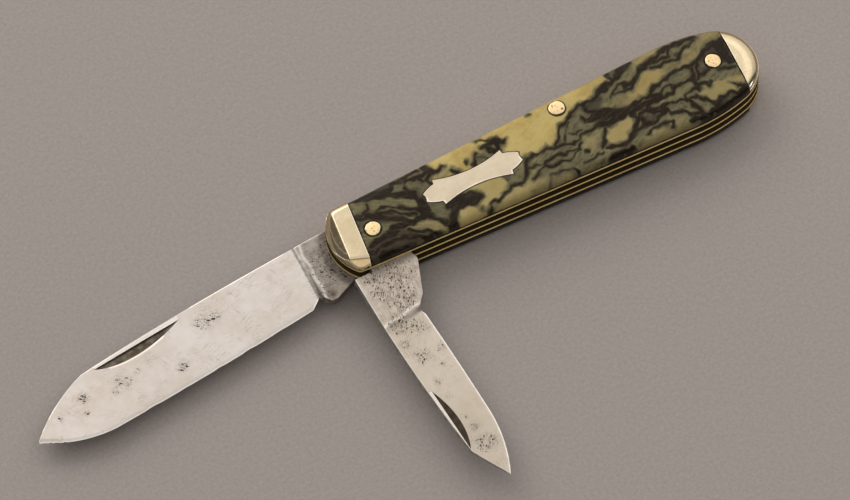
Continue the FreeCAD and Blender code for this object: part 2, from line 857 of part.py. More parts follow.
os.makedirs("parts", exist_ok=True)
for piece in pieces:
    piece.Shape.exportStep(f"parts/{piece.Label}.step")
    print(piece.Label, len(piece.Shape.Solids), round(piece.Shape.Volume, 2))
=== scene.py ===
import json
import logging
import math
from collections.abc import Callable
from dataclasses import dataclass
from enum import Enum

import bmesh
import bpy
import numpy as np
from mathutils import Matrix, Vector


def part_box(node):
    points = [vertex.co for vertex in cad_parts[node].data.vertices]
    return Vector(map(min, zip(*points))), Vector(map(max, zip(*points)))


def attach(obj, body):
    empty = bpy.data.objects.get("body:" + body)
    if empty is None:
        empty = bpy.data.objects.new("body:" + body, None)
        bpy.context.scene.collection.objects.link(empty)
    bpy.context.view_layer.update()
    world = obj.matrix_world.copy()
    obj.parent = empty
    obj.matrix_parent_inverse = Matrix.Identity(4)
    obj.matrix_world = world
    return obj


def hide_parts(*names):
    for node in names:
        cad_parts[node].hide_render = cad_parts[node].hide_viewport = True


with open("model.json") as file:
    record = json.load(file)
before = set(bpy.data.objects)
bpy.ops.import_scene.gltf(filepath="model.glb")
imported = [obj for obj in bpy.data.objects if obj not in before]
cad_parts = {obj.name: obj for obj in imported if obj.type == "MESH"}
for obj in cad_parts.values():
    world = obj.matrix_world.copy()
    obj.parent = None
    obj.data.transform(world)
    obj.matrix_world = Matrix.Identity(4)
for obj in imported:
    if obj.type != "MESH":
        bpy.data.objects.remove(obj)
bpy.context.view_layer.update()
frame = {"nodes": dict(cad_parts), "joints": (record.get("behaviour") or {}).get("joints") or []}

MM = 0.001
MERGE_GAP = 2e-7
NO_LENGTH = 1e-7
CLOSING_ROUNDS = 6
ORIGIN = (0.0, 0.0, 0.0)
log = logging.getLogger("pocket_knife")

Array = np.ndarray
Object = bpy.types.Object
Material = bpy.types.Material
Outputs = bpy.types.NodeOutputs
Socket = bpy.types.NodeSocket
Colour = tuple[float, float, float, float]
Value = float | tuple[float, ...] | Socket
Point = tuple[float, float]
Triple = tuple[float, float, float]
Run = Triple
Rise = Callable[[Array, Array], Array]


class Body(Enum):
    """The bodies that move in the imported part."""

    HANDLE = "handle"
    MAIN = "main_blade"
    PEN = "pen_blade"


class Slot(Enum):
    """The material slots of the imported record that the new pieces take."""

    BRASS = "brass"
    NICKEL = "nickel_silver"
    CELLULOID = "celluloid"
    BLADE = "blade_steel"


class Ends(Enum):
    """How the first and last rings of a skin are closed."""

    POLES = "poles"
    LIDS = "lids"


class Side(Enum):
    """The two outer faces of the handle."""

    MARK = "mark"
    PILE = "pile"


class Tip(Enum):
    """The two ends of the handle that carry bolsters."""

    FRONT = "front"
    CAP = "cap"


# Small helpers for shapes

def show(made: Object) -> Object:
    """Puts an object into the scene and hands it back."""
    bpy.context.scene.collection.objects.link(made)
    return made


def paint(red: int, green: int, blue: int) -> Colour:
    """Turns a colour of 0 to 255 steps, as a screen shows it, into the linear one that nodes take.

    Args:
        red: Red step.
        green: Green step.
        blue: Blue step.

    Returns:
        Linear red, green, blue and a full alpha.
    """
    shown = np.array([red, green, blue]) / 255
    linear = np.where(shown <= 0.04045, shown / 12.92, ((shown + 0.055) / 1.055) ** 2.4)
    return (float(linear[0]), float(linear[1]), float(linear[2]), 1.0)


def ease(value: Array) -> Array:
    """Goes smoothly from 0 to 1: three times the square less twice the cube of the clipped value."""
    held = np.clip(value, 0.0, 1.0)
    return held * held * (3.0 - 2.0 * held)


def rounding(inset: Array, radius: Array | float) -> Array:
    """Gives how far a rounded edge lies under its flat: the radius less the height of its quarter circle."""
    reach = np.clip(radius - inset, 0.0, radius)
    return radius - np.sqrt(np.maximum(np.square(radius) - np.square(reach), 0.0))


def soft_floor(levels: list[Array], crispness: float) -> Array:
    """Takes the lowest of several levels with the creases eased: less the logarithm of summed exponentials.

    Args:
        levels: Heights of the planes.
        crispness: How sharp a crease stays, per millimetre.

    Returns:
        The eased lowest level.
    """
    stack = np.stack(np.broadcast_arrays(*levels))
    low = stack.min(axis=0)
    return low - np.log(np.exp(-crispness * (stack - low)).sum(axis=0)) / crispness


def bowed_line(runs: tuple[Run, ...], step: float, closed: bool = False) -> Array:
    """Draws a line of straight and bowed runs.

    Each run is a circular arc from its point to the next one. The third number is the bow, how far its
    middle stands to the left of the straight chord. A point lies at the arc's centre plus the radius times
    the sine of its angle along the chord and the cosine across it.

    Args:
        runs: Start of each run and its bow, in millimetres.
        step: Longest distance between neighbouring points.
        closed: Whether the last run returns to the first point.

    Returns:
        The points, one row each, with the first not repeated at a closed end.
    """
    starts = np.array([run[:2] for run in runs], float)
    ends = np.roll(starts, -1, axis=0)
    pieces = []
    for begin, finish, run in zip(starts, ends, runs):
        if not closed and run is runs[-1]:
            break
        chord = finish - begin
        length = float(np.hypot(*chord))
        along = chord / length
        left = np.array([-along[1], along[0]])
        share = np.linspace(0.0, 1.0, max(2, math.ceil(length / step) + 1))[:-1, None]
        bow = run[2]
        if bow == 0.0:
            pieces.append(begin + chord * share)
            continue
        radius = (length * length / 4 + bow * bow) / (2 * abs(bow))
        half = math.asin(length / 2 / radius)
        angle = half * (2 * share - 1)
        out = left * math.copysign(1.0, bow)
        centre = begin + chord / 2 - out * (radius - abs(bow))
        pieces.append(centre + radius * (np.sin(angle) * along + np.cos(angle) * out))
    if not closed:
        pieces.append(starts[-1:])
    return np.concatenate(pieces)


def level_on(line: Array, at: Array) -> Array:
    """Reads a line's height at the given stations, for a line whose own stations rise or fall steadily."""
    order = np.argsort(line[:, 0], kind="stable")
    return np.interp(at, line[order, 0], line[order, 1])


def turned(points: Array, angle: float) -> Array:
    """Turns points about the upright axis.

    Args:
        points: Points with x and y first in the last axis.
        angle: Angle in radians, from x towards y.

    Returns:
        A turned copy.
    """
    made = points.copy()
    made[..., 0] = points[..., 0] * math.cos(angle) - points[..., 1] * math.sin(angle)
    made[..., 1] = points[..., 0] * math.sin(angle) + points[..., 1] * math.cos(angle)
    return made


def ripple(x: Array, y: Array, rate: float, seed: int) -> Array:
    """Gives a smooth wandering value: the scaled sum of sines of random direction, phase and length.

    Args:
        x: Places along the handle.
        y: Places across it.
        rate: Middle rate of the sines, in radians a millimetre.
        seed: Choice of the random draw.

    Returns:
        Values of about one in size, half of them below zero.
    """
    waves, slowest, fastest = 12, 0.6, 1.7
    draw = np.random.default_rng(seed)
    turn, phase = draw.uniform(0.0, 2.0 * math.pi, (2, waves))
    fast = rate * draw.uniform(slowest, fastest, waves)
    wave = fast * (x[..., None] * np.cos(turn) + y[..., None] * np.sin(turn)) + phase
    return np.sin(wave).sum(axis=-1) / math.sqrt(waves / 2)


def skin(
    name: str, rings: Array, ends: Ends, masks: dict[str, Array], crease: float = 32.0
) -> Object:
    """Makes a closed mesh from rings of points.

    Neighbouring rings are joined by quads all the way round. At the ends, lids join each point of the ring
    to the point as far from the ring's other end, and poles are rings of no size that merge into one point.

    Args:
        name: Name of the piece.
        rings: Ring, place round it and x, y, z, in millimetres.
        ends: How the first and last rings are closed.
        masks: Values at every point, kept as attributes of these names.
        crease: Angle in degrees past which an edge is shown sharp.

    Returns:
        The new object, at the origin.
    """
    count, around = rings.shape[:2]
    index = np.arange(count * around).reshape(count, around)
    after = np.roll(index, -1, axis=1)
    quads = [np.stack([index[:-1], after[:-1], after[1:], index[1:]], axis=-1).reshape(-1, 4)]
    if ends is Ends.LIDS:
        for ring in (index[0], index[-1]):
            near, far = ring[: around // 2], ring[::-1][: around // 2]
            quads.append(np.stack([near[:-1], near[1:], far[1:], far[:-1]], axis=-1))
    mesh = bpy.data.meshes.new(name)
    mesh.from_pydata((rings.reshape(-1, 3) * MM).tolist(), [], np.concatenate(quads).tolist())
    for label, values in masks.items():
        layer = mesh.attributes.new(label, "FLOAT", "POINT")
        layer.data.foreach_set("value", np.ascontiguousarray(values, np.float32).ravel())
    work = bmesh.new()
    work.from_mesh(mesh)
    bmesh.ops.remove_doubles(work, verts=work.verts, dist=MERGE_GAP)
    bmesh.ops.dissolve_degenerate(work, edges=work.edges, dist=NO_LENGTH)
    bmesh.ops.recalc_face_normals(work, faces=work.faces)
    work.to_mesh(mesh)
    work.free()
    mesh.shade_smooth()
    mesh.set_sharp_from_angle(angle=math.radians(crease))
    return show(bpy.data.objects.new(name, mesh))


def fit(
    piece: Object, body: Body, material: Material, nodes: tuple[str, ...]
) -> None:
    """Dresses a piece and puts it in the place of CAD nodes.

    Args:
        piece: The new piece.
        body: The body that it moves with.
        material: Its material.
        nodes: The CAD nodes that it stands for.
    """
    piece.data.materials.append(material)
    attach(piece, body.value)
    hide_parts(*nodes)
    log.info("%s stands for %s, %d faces", piece.name, ", ".join(nodes), len(piece.data.polygons))


# Shader wiring and shared effects

class Wires:
    """Adds nodes to one node tree and joins them up."""

    def __init__(self, tree: bpy.types.NodeTree) -> None:
        """Keeps the tree that the nodes go into."""
        self.tree = tree

    def put(self, socket: Socket, value: Value) -> None:
        """Links a socket to another one, or sets it to a plain value.

        Args:
            socket: The input.
            value: A socket, number, vector or colour.
        """
        if isinstance(value, Socket):
            self.tree.links.new(value, socket)
        else:
            socket.default_value = value

    def node(
        self, kind: str, inputs: dict[str | int, Value] | None = None, **settings: object
    ) -> bpy.types.Node:
        """Adds one node.

        Args:
            kind: Blender's name for the type of node.
            inputs: Values or links for its inputs, by name or number.
            **settings: Properties of the node.

        Returns:
            The node.
        """
        made = self.tree.nodes.new(kind)
        for key, value in settings.items():
            setattr(made, key, value)
        for key, value in (inputs or {}).items():
            self.put(made.inputs[key], value)
        return made

    def sum(self, operation: str, first: Value, second: Value = 0.0, clamp: bool = False) -> Socket:
        """Does one step of arithmetic, by Blender's name for it, held between 0 and 1 if clamped."""
        inputs = {0: first, 1: second}
        return self.node("ShaderNodeMath", inputs, operation=operation, use_clamp=clamp).outputs[0]

    def times(self, first: Value, second: Value) -> Socket:
        """Multiplies two values."""
        return self.sum("MULTIPLY", first, second)

    def plus(self, first: Value, second: Value, clamp: bool = False) -> Socket:
        """Adds two values, held between 0 and 1 if clamped."""
        return self.sum("ADD", first, second, clamp)

    def less(self, first: Value, second: Value, clamp: bool = False) -> Socket:
        """Takes the second value from the first one, held between 0 and 1 if clamped."""
        return self.sum("SUBTRACT", first, second, clamp)

    def span(self, value: Value, low: Value, high: Value, start: Value = 0.0, stop: Value = 1.0) -> Socket:
        """Carries the range from low to high smoothly onto that from start to stop, and holds it there."""
        inputs = {0: value, 1: low, 2: high, 3: start, 4: stop}
        return self.node("ShaderNodeMapRange", inputs, interpolation_type="SMOOTHSTEP").outputs[0]

    def mix(self, share: Value, first: Value, second: Value) -> Socket:
        """Mixes two colours, by the share of the second one."""
        inputs = {0: share, 6: first, 7: second}
        return self.node("ShaderNodeMix", inputs, data_type="RGBA").outputs[2]

    def noise(
        self, place: Value, scale: float, detail: float = 3.0, rough: float = 0.55, warp: float = 0.0
    ) -> Socket:
        """Adds a cloudy noise of about 0.5 on average, with its scale in clouds a millimetre."""
        inputs = {"Vector": place, "Scale": scale, "Detail": detail, "Roughness": rough, "Distortion": warp}
        return self.node("ShaderNodeTexNoise", inputs).outputs[0]

    def stretch(self, place: Value, turn: Value, factors: Triple) -> Socket:
        """Turns positions about the upright axis and scales them along each axis.

        Args:
            place: Position.
            turn: Angle in radians.
            factors: Scale along x, y and z after the turn.

        Returns:
            The new position.
        """
        inputs = {"Vector": place, "Angle": turn}
        spun = self.node("ShaderNodeVectorRotate", inputs, rotation_type="Z_AXIS").outputs[0]
        return self.node("ShaderNodeVectorMath", {0: spun, 1: factors}, operation="MULTIPLY").outputs[0]

    def place(self) -> Socket:
        """Gives the position on the piece at rest, in millimetres."""
        seen = self.node("ShaderNodeTexCoord").outputs["Object"]
        return self.node("ShaderNodeVectorMath", {0: seen, "Scale": 1.0 / MM}, operation="SCALE").outputs[0]

    def mask(self, label: str) -> Socket:
        """Reads one of the piece's own masks."""
        return self.node("ShaderNodeAttribute", attribute_name=label).outputs["Fac"]

    def bump(self, height: Value, depth: float, strength: float = 1.0) -> Socket:
        """Turns a height into a normal, where a height of 1 stands for the depth in millimetres."""
        inputs = {"Height": height, "Distance": depth * MM, "Strength": strength}
        return self.node("ShaderNodeBump", inputs).outputs[0]


class Effect:
    """A shader node group that several finishes share. Each kind is built once."""

    label = "effect"
    takes: dict[str, Value] = {}
    gives: tuple[str, ...] = ()

    def tree(self) -> bpy.types.NodeTree:
        """Finds the group, or builds it the first time.

        Returns:
            The node group.
        """
        found = bpy.data.node_groups.get(self.label)
        if found is not None:
            return found
        made = bpy.data.node_groups.new(self.label, "ShaderNodeTree")
        for name, value in self.takes.items():
            kind = "NodeSocketVector" if isinstance(value, tuple) else "NodeSocketFloat"
            made.interface.new_socket(name=name, in_out="INPUT", socket_type=kind).default_value = value
        for name in self.gives:
            made.interface.new_socket(name=name, in_out="OUTPUT", socket_type="NodeSocketFloat")
        wires = Wires(made)
        given = wires.node("NodeGroupInput").outputs
        results = self.wire(wires, given)
        wires.node("NodeGroupOutput", dict(results))
        return made

    def wire(self, wires: Wires, given: Outputs) -> dict[str | int, Value]:
        """Builds the nodes inside the group; each kind of effect has its own."""
        raise NotImplementedError

    def use(self, wires: Wires, **inputs: Value) -> Outputs:
        """Places the group in a material with values for its inputs, and gives its outputs."""
        return wires.node("ShaderNodeGroup", dict(inputs), node_tree=self.tree()).outputs


class Hairlines(Effect):
    """Long fine scratches: the level lines of a noise drawn out many times along one direction."""

    label = "hairline_scratches"
    takes = {"Place": ORIGIN, "Turn": 0.0, "Width": 0.02}
    gives = ("Mask", "Brushed")
    sets = ((0.0, (0.16, 2.6, 1.0)), (1.15, (0.22, 3.4, 1.0)), (-0.5, (0.12, 2.2, 1.0)))
    brushing = (0.25, 9.0, 1.0)

    def wire(self, wires: Wires, given: Outputs) -> dict[str | int, Value]:
        """Crosses three sets of lines, each turned and drawn out in its own way and let through by a cloud.

        Args:
            wires: The group's nodes.
            given: The group's inputs.

        Returns:
            The scratch mask and a brushed tone.
        """
        masks = []
        for turn, draw in self.sets:
            angle = wires.plus(given["Turn"], turn)
            tone = wires.noise(wires.stretch(given["Place"], angle, draw), 1.0, 2.0, 0.6, 0.25)
            off = wires.sum("ABSOLUTE", wires.less(tone, 0.5))
            line = wires.span(off, 0.0, given["Width"], 1.0, 0.0)
            gate = wires.span(wires.noise(given["Place"], 0.21 + 0.05 * turn, 2.0), 0.5, 0.66)
            masks.append(wires.times(line, gate))
        brushed = wires.noise(wires.stretch(given["Place"], given["Turn"], self.brushing), 1.0, 4.0, 0.7)
        crossed = wires.sum("MAXIMUM", wires.sum("MAXIMUM", masks[0], masks[1]), masks[2])
        return {"Mask": crossed, "Brushed": brushed}


class Pitting(Effect):
    """Small corrosion pits: the middles of random cells, let through where the amount and a cloud agree."""

    label = "pitting"
    takes = {"Place": ORIGIN, "Amount": 0.0, "Grain": 2.2}
    gives = ("Mask", "Stain")
    shake = (0.55, 0.55, 0.55)
    sizes = ((1.0, 0.62), (2.1, 0.7))

    def wire(self, wires: Wires, given: Outputs) -> dict[str | int, Value]:
        """Grows pits of two sizes with the amount.

        Args:
            wires: The group's nodes.
            given: The group's inputs.

        Returns:
            The pit mask and the softer stain round the pits.
        """
        rough = {"Vector": given["Place"], "Scale": 1.7, "Detail": 5.0, "Roughness": 0.78}
        wobble = wires.node("ShaderNodeTexNoise", rough).outputs[1]
        moved = {0: wobble, 1: self.shake, 2: given["Place"]}
        shaken = wires.node("ShaderNodeVectorMath", moved, operation="MULTIPLY_ADD").outputs[0]
        cloud = wires.noise(given["Place"], 0.9, 4.0, 0.65)
        cover = wires.span(wires.plus(given["Amount"], wires.less(cloud, 0.5)), 0.12, 0.75)
        pits = []
        for share, size in self.sizes:
            scale = wires.times(given["Grain"], share)
            cell = wires.node("ShaderNodeTexVoronoi", {"Vector": shaken, "Scale": scale})
            luck = wires.node("ShaderNodeSeparateColor", {0: cell.outputs["Color"]}).outputs[0]
            luck = wires.sum("POWER", luck, 1.6)
            reach = wires.times(wires.times(luck, cover), size)
            low = wires.times(reach, 0.55)
            pits.append(wires.span(cell.outputs["Distance"], low, wires.plus(reach, 0.001), 1.0, 0.0))
        both = wires.times(wires.sum("MAXIMUM", pits[0], pits[1]), wires.span(cover, 0.0, 0.1))
        fine = wires.noise(given["Place"], 2.6, 3.0, 0.7)
        stain = wires.times(cover, wires.span(fine, 0.35, 0.72))
        return {"Mask": both, "Stain": stain}


class Tarnish(Effect):
    """Soft clouds of tarnish: two noises of different size, added and spread over the full range."""

    label = "tarnish_clouds"
    takes = {"Place": ORIGIN, "Size": 0.2}
    gives = ("Mask", "Fine")

    def wire(self, wires: Wires, given: Outputs) -> dict[str | int, Value]:
        """Adds the two noises.

        Args:
            wires: The group's nodes.
            given: The group's inputs.

        Returns:
            The clouds and their finer part.
        """
        fine_size = wires.times(given["Size"], 6.0)
        clouds = []
        for size, detail in ((given["Size"], 4.0), (fine_size, 5.0)):
            inputs = {"Vector": given["Place"], "Scale": size, "Detail": detail}
            clouds.append(wires.node("ShaderNodeTexNoise", inputs).outputs[0])
        wide, fine = clouds
        blend = wires.plus(wires.times(wide, 0.7), wires.times(fine, 0.3))
        return {"Mask": wires.span(blend, 0.36, 0.66), "Fine": fine}


class EdgeWearAndGlint(Effect):
    """Bright edges, worn bright and with painted highlights: the piece's own edge mask, broken up by a fine
    noise.
    """

    label = "edge_wear_and_glint"
    takes = {"Place": ORIGIN, "Edge": 0.0}
    gives = ("Mask",)

    def wire(self, wires: Wires, given: Outputs) -> dict[str | int, Value]:
        """Breaks the edge mask up."""
        broken = wires.span(wires.noise(given["Place"], 0.8, 4.0, 0.65), 0.25, 0.6, 0.55, 1.0)
        return {"Mask": wires.times(wires.span(given["Edge"], 0.15, 0.85), broken)}


class GrimeAndShade(Effect):
    """Dirt packed into gaps, and painted shade where a piece's masks put it: the piece's own hollow mask,
    spread unevenly by a noise.
    """

    label = "packed_grime_and_painted_shade"
    takes = {"Place": ORIGIN, "Hollow": 0.0}
    gives = ("Mask",)

    def wire(self, wires: Wires, given: Outputs) -> dict[str | int, Value]:
        """Spreads the hollow mask."""
        uneven = wires.times(wires.less(wires.noise(given["Place"], 1.1, 3.0), 0.5), 0.5)
        return {"Mask": wires.span(wires.plus(given["Hollow"], uneven), 0.3, 0.8)}


HAIRLINES, PITTING, TARNISH, EDGE_WEAR_AND_GLINT, GRIME_AND_SHADE = Hairlines(), Pitting(), Tarnish(), EdgeWearAndGlint(), GrimeAndShade()


# Finishes

def blank(name: str) -> tuple[Material, Wires, bpy.types.NodeInputs]:
    """Starts a material.

    Args:
        name: Name of the finish.

    Returns:
        The material, its nodes and the inputs of its shader.
    """
    made = bpy.data.materials.new(name)
    made.use_nodes = True
    made.node_tree.nodes.clear()
    wires = Wires(made.node_tree)
    shader = wires.node("ShaderNodeBsdfPrincipled")
    wires.node("ShaderNodeOutputMaterial", {"Surface": shader.outputs[0]})
    return made, wires, shader.inputs


@dataclass(frozen=True)
class MarbledCelluloid:
    """Marbled sheet celluloid: cream patches in a green-grey ground with charcoal veins, worn smooth."""

    name: str
    cream: Colour = paint(194, 173, 109)
    honey: Colour = paint(180, 155, 90)
    veil: Colour = paint(140, 129, 90)
    moss: Colour = paint(104, 100, 75)
    sage: Colour = paint(126, 121, 89)
    aged: Colour = paint(158, 137, 82)
    slate: Colour = paint(62, 56, 48)
    charcoal: Colour = paint(30, 22, 15)
    black: Colour = paint(16, 10, 5)
    smoke: Colour = paint(54, 46, 34)
    grime_and_shade: Colour = paint(14, 10, 8)
    gloss: float = 0.16
    gloss_tint: Colour = paint(255, 238, 214)
    ior: float = 1.5
    grain: Triple = (0.38, 1.15, 1.0)
    grain_turns: Point = (0.45, -0.38)
    grain_change: Point = (-23.5, -20.0)

    def flow(self, wires: Wires, scale: float, detail: float, rough: float, warp: float) -> Socket:
        """Gives a noise drawn out along the sheet's grain, which turns the other way past the shield's front.

        Args:
            wires: The material's nodes.
            scale: Cells per millimetre across the grain.
            detail: Finer layers.
            rough: Weight of the finer layers.
            warp: How far the noise bends itself.

        Returns:
            The noise: one for each lie of the grain, faded into each other along the handle.
        """
        place = wires.place()
        station = wires.node("ShaderNodeSeparateXYZ", {0: place}).outputs[0]
        front, rear = (
            wires.noise(wires.stretch(place, turn, self.grain), scale, detail, rough, warp)
            for turn in self.grain_turns
        )
        share = wires.span(station, *self.grain_change)
        kept = wires.times(front, wires.less(1.0, share))
        return wires.plus(kept, wires.times(rear, share))

    def material(self) -> Material:
        """Shakes the edges of the veins with three noises, then colours from vein over smoky halo to patch.

        Returns:
            The material.
        """
        made, wires, shader = blank(self.name)
        place = wires.place()
        shaken = wires.mask("patch")
        along = wires.node("ShaderNodeSeparateXYZ", {0: place})
        station, height = along.outputs[0], along.outputs[1]
        wide = wires.noise(place, 0.5, 2.0, 0.6, 0.4)
        middling, small = self.flow(wires, 1.5, 4.0, 0.6, 0.4), self.flow(wires, 4.0, 3.0, 0.6, 0.4)
        for noise, reach in ((wide, 0.4), (middling, 0.55), (small, 0.24)):
            shaken = wires.plus(shaken, wires.times(wires.less(noise, 0.5), reach))
        uneven = wires.times(wires.less(wires.noise(place, 0.55, 4.0, 0.6), 0.5), 0.6)
        warmth = wires.plus(wires.mask("warmth"), uneven)
        pale = wires.mix(wires.span(wires.noise(place, 0.28, 3.0), 0.4, 0.68), self.cream, self.honey)
        pale = wires.mix(wires.span(station, 6.0, 18.0, 0.0, 0.7), pale, self.aged)
        pale = wires.mix(wires.span(height, 2.5, -3.5, 0.0, 0.5), pale, self.veil)
        cool = wires.mix(wires.span(warmth, -0.75, 0.05), self.slate, self.moss)
        core = wires.mix(wires.span(warmth, 0.0, 1.0), cool, pale)
        cloud = self.flow(wires, 1.3, 4.0, 0.62, 0.6)
        streak = wires.times(wires.span(cloud, 0.44, 0.62), wires.span(warmth, 0.1, 0.7, 0.65, 0.08))
        core = wires.mix(streak, core, self.smoke)
        reach = wires.span(wires.noise(place, 0.4, 3.0, 0.6), 0.35, 0.65, 0.5, 1.5)
        fringe = wires.mix(wires.span(warmth, -0.4, 0.2), core, self.sage)
        core = wires.mix(wires.span(shaken, 0.1, reach, 0.75, 0.0), core, fringe)
        halo = wires.span(shaken, 0.0, wires.times(reach, 0.75), 0.6, 0.0)
        body = wires.mix(halo, core, self.smoke)
        swirl = self.flow(wires, 1.7, 5.0, 0.68, 0.9)
        deep = wires.mix(wires.span(swirl, 0.48, 0.72), self.charcoal, self.slate)
        dark = wires.mix(wires.span(shaken, -0.35, -0.05, 0.0, 0.75), deep, self.black)
        smoky = wires.span(wires.noise(place, 0.36, 2.0, 0.5), 0.36, 0.64, 0.14, 0.52)
        veined = wires.mix(wires.span(shaken, -0.24, smoky), dark, body)
        # The dark mask holds dirt at pins and joints, and painted shade at the cover's foot and round the
        # shield.
        dirt_and_shade = GRIME_AND_SHADE.use(wires, Place=place, Hollow=wires.mask("hollow"))["Mask"]
        wires.put(shader["Base Color"], wires.mix(wires.times(dirt_and_shade, 0.95), veined, self.grime_and_shade))
        rub = HAIRLINES.use(wires, Place=place, Turn=0.2, Width=0.012)
        smear = TARNISH.use(wires, Place=place, Size=0.12)
        dull = wires.plus(wires.span(smear["Mask"], 0.0, 1.0, 0.14, 0.24), wires.times(rub["Mask"], 0.12))
        wires.put(shader["Roughness"], wires.plus(dull, wires.times(dirt_and_shade, 0.4)))
        wires.put(shader["Normal"], wires.bump(wires.less(smear["Fine"], rub["Mask"]), 0.012, 0.5))
        shader["IOR"].default_value = self.ior
        shader["Specular IOR Level"].default_value = self.gloss
        shader["Specular Tint"].default_value = self.gloss_tint
        return made


@dataclass(frozen=True)
class PlatedMetal:
    """Bolster, shield, pin and liner metal: worn polish, hairlines, tarnish clouds, bright edges, dirt, a
    painted highlight on the shield's belly rim and painted shade on the liners' flat faces.
    """

    name: str
    fresh: Colour
    dull: Colour
    bright: Colour
    turn: float = 0.0
    polish: float = 0.24
    hairlines: float = 0.016
    brushing: float = 0.1
    tarnish: float = 0.45
    pits: float = 0.12
    flat_face_dirt_and_shade: float = 0.0
    caking_and_shade: float = 0.85
    dirt_and_shade: Colour = paint(34, 27, 20)
    spot: Colour = paint(96, 74, 48)
    glance: Colour = paint(255, 224, 168)
    sheen: float = 1.0

    def material(self) -> Material:
        """Lays the shared effects over the metal.

        Returns:
            The material.
        """
        made, wires, shader = blank(self.name)
        place = wires.place()
        lines = HAIRLINES.use(wires, Place=place, Turn=self.turn, Width=self.hairlines)
        clouds = TARNISH.use(wires, Place=place, Size=0.22)
        spots = PITTING.use(wires, Place=place, Amount=self.pits, Grain=1.6)
        wear_and_glint = EDGE_WEAR_AND_GLINT.use(wires, Place=place, Edge=wires.mask("edge"))["Mask"]
        facing = wires.node("ShaderNodeTexCoord").outputs["Normal"]
        upright = wires.node("ShaderNodeSeparateXYZ", {0: facing}).outputs[2]
        # Flat-lying faces darken by the given share: on the liners these are the faces inside the slots,
        # painted near black as shade, with dirt.
        level = wires.span(wires.sum("ABSOLUTE", upright), 0.6, 0.9, 0.0, self.flat_face_dirt_and_shade)
        dirt_and_shade = GRIME_AND_SHADE.use(wires, Place=place, Hollow=wires.sum("MAXIMUM", wires.mask("hollow"), level))["Mask"]
        tone = wires.mix(wires.times(clouds["Mask"], self.tarnish), self.fresh, self.dull)
        tone = wires.mix(wires.times(lines["Mask"], 0.35), tone, self.dull)
        tone = wires.mix(wires.times(spots["Mask"], 0.8), tone, self.spot)
        tone = wires.mix(wear_and_glint, tone, self.bright)
        wires.put(shader["Base Color"], wires.mix(wires.times(dirt_and_shade, self.caking_and_shade), tone, self.dirt_and_shade))
        rough = wires.plus(self.polish, wires.times(clouds["Fine"], 0.12))
        rough = wires.plus(rough, wires.times(lines["Brushed"], self.brushing))
        wires.put(shader["Roughness"], wires.plus(rough, wires.times(dirt_and_shade, 0.4), clamp=True))
        wires.put(shader["Metallic"], wires.less(self.sheen, wires.times(dirt_and_shade, 0.9), clamp=True))
        grain = wires.plus(wires.times(lines["Brushed"], 0.4), wires.times(lines["Mask"], -0.8))
        wires.put(shader["Normal"], wires.bump(grain, 0.006, 0.6))
        shader["Specular Tint"].default_value = self.glance
        return made


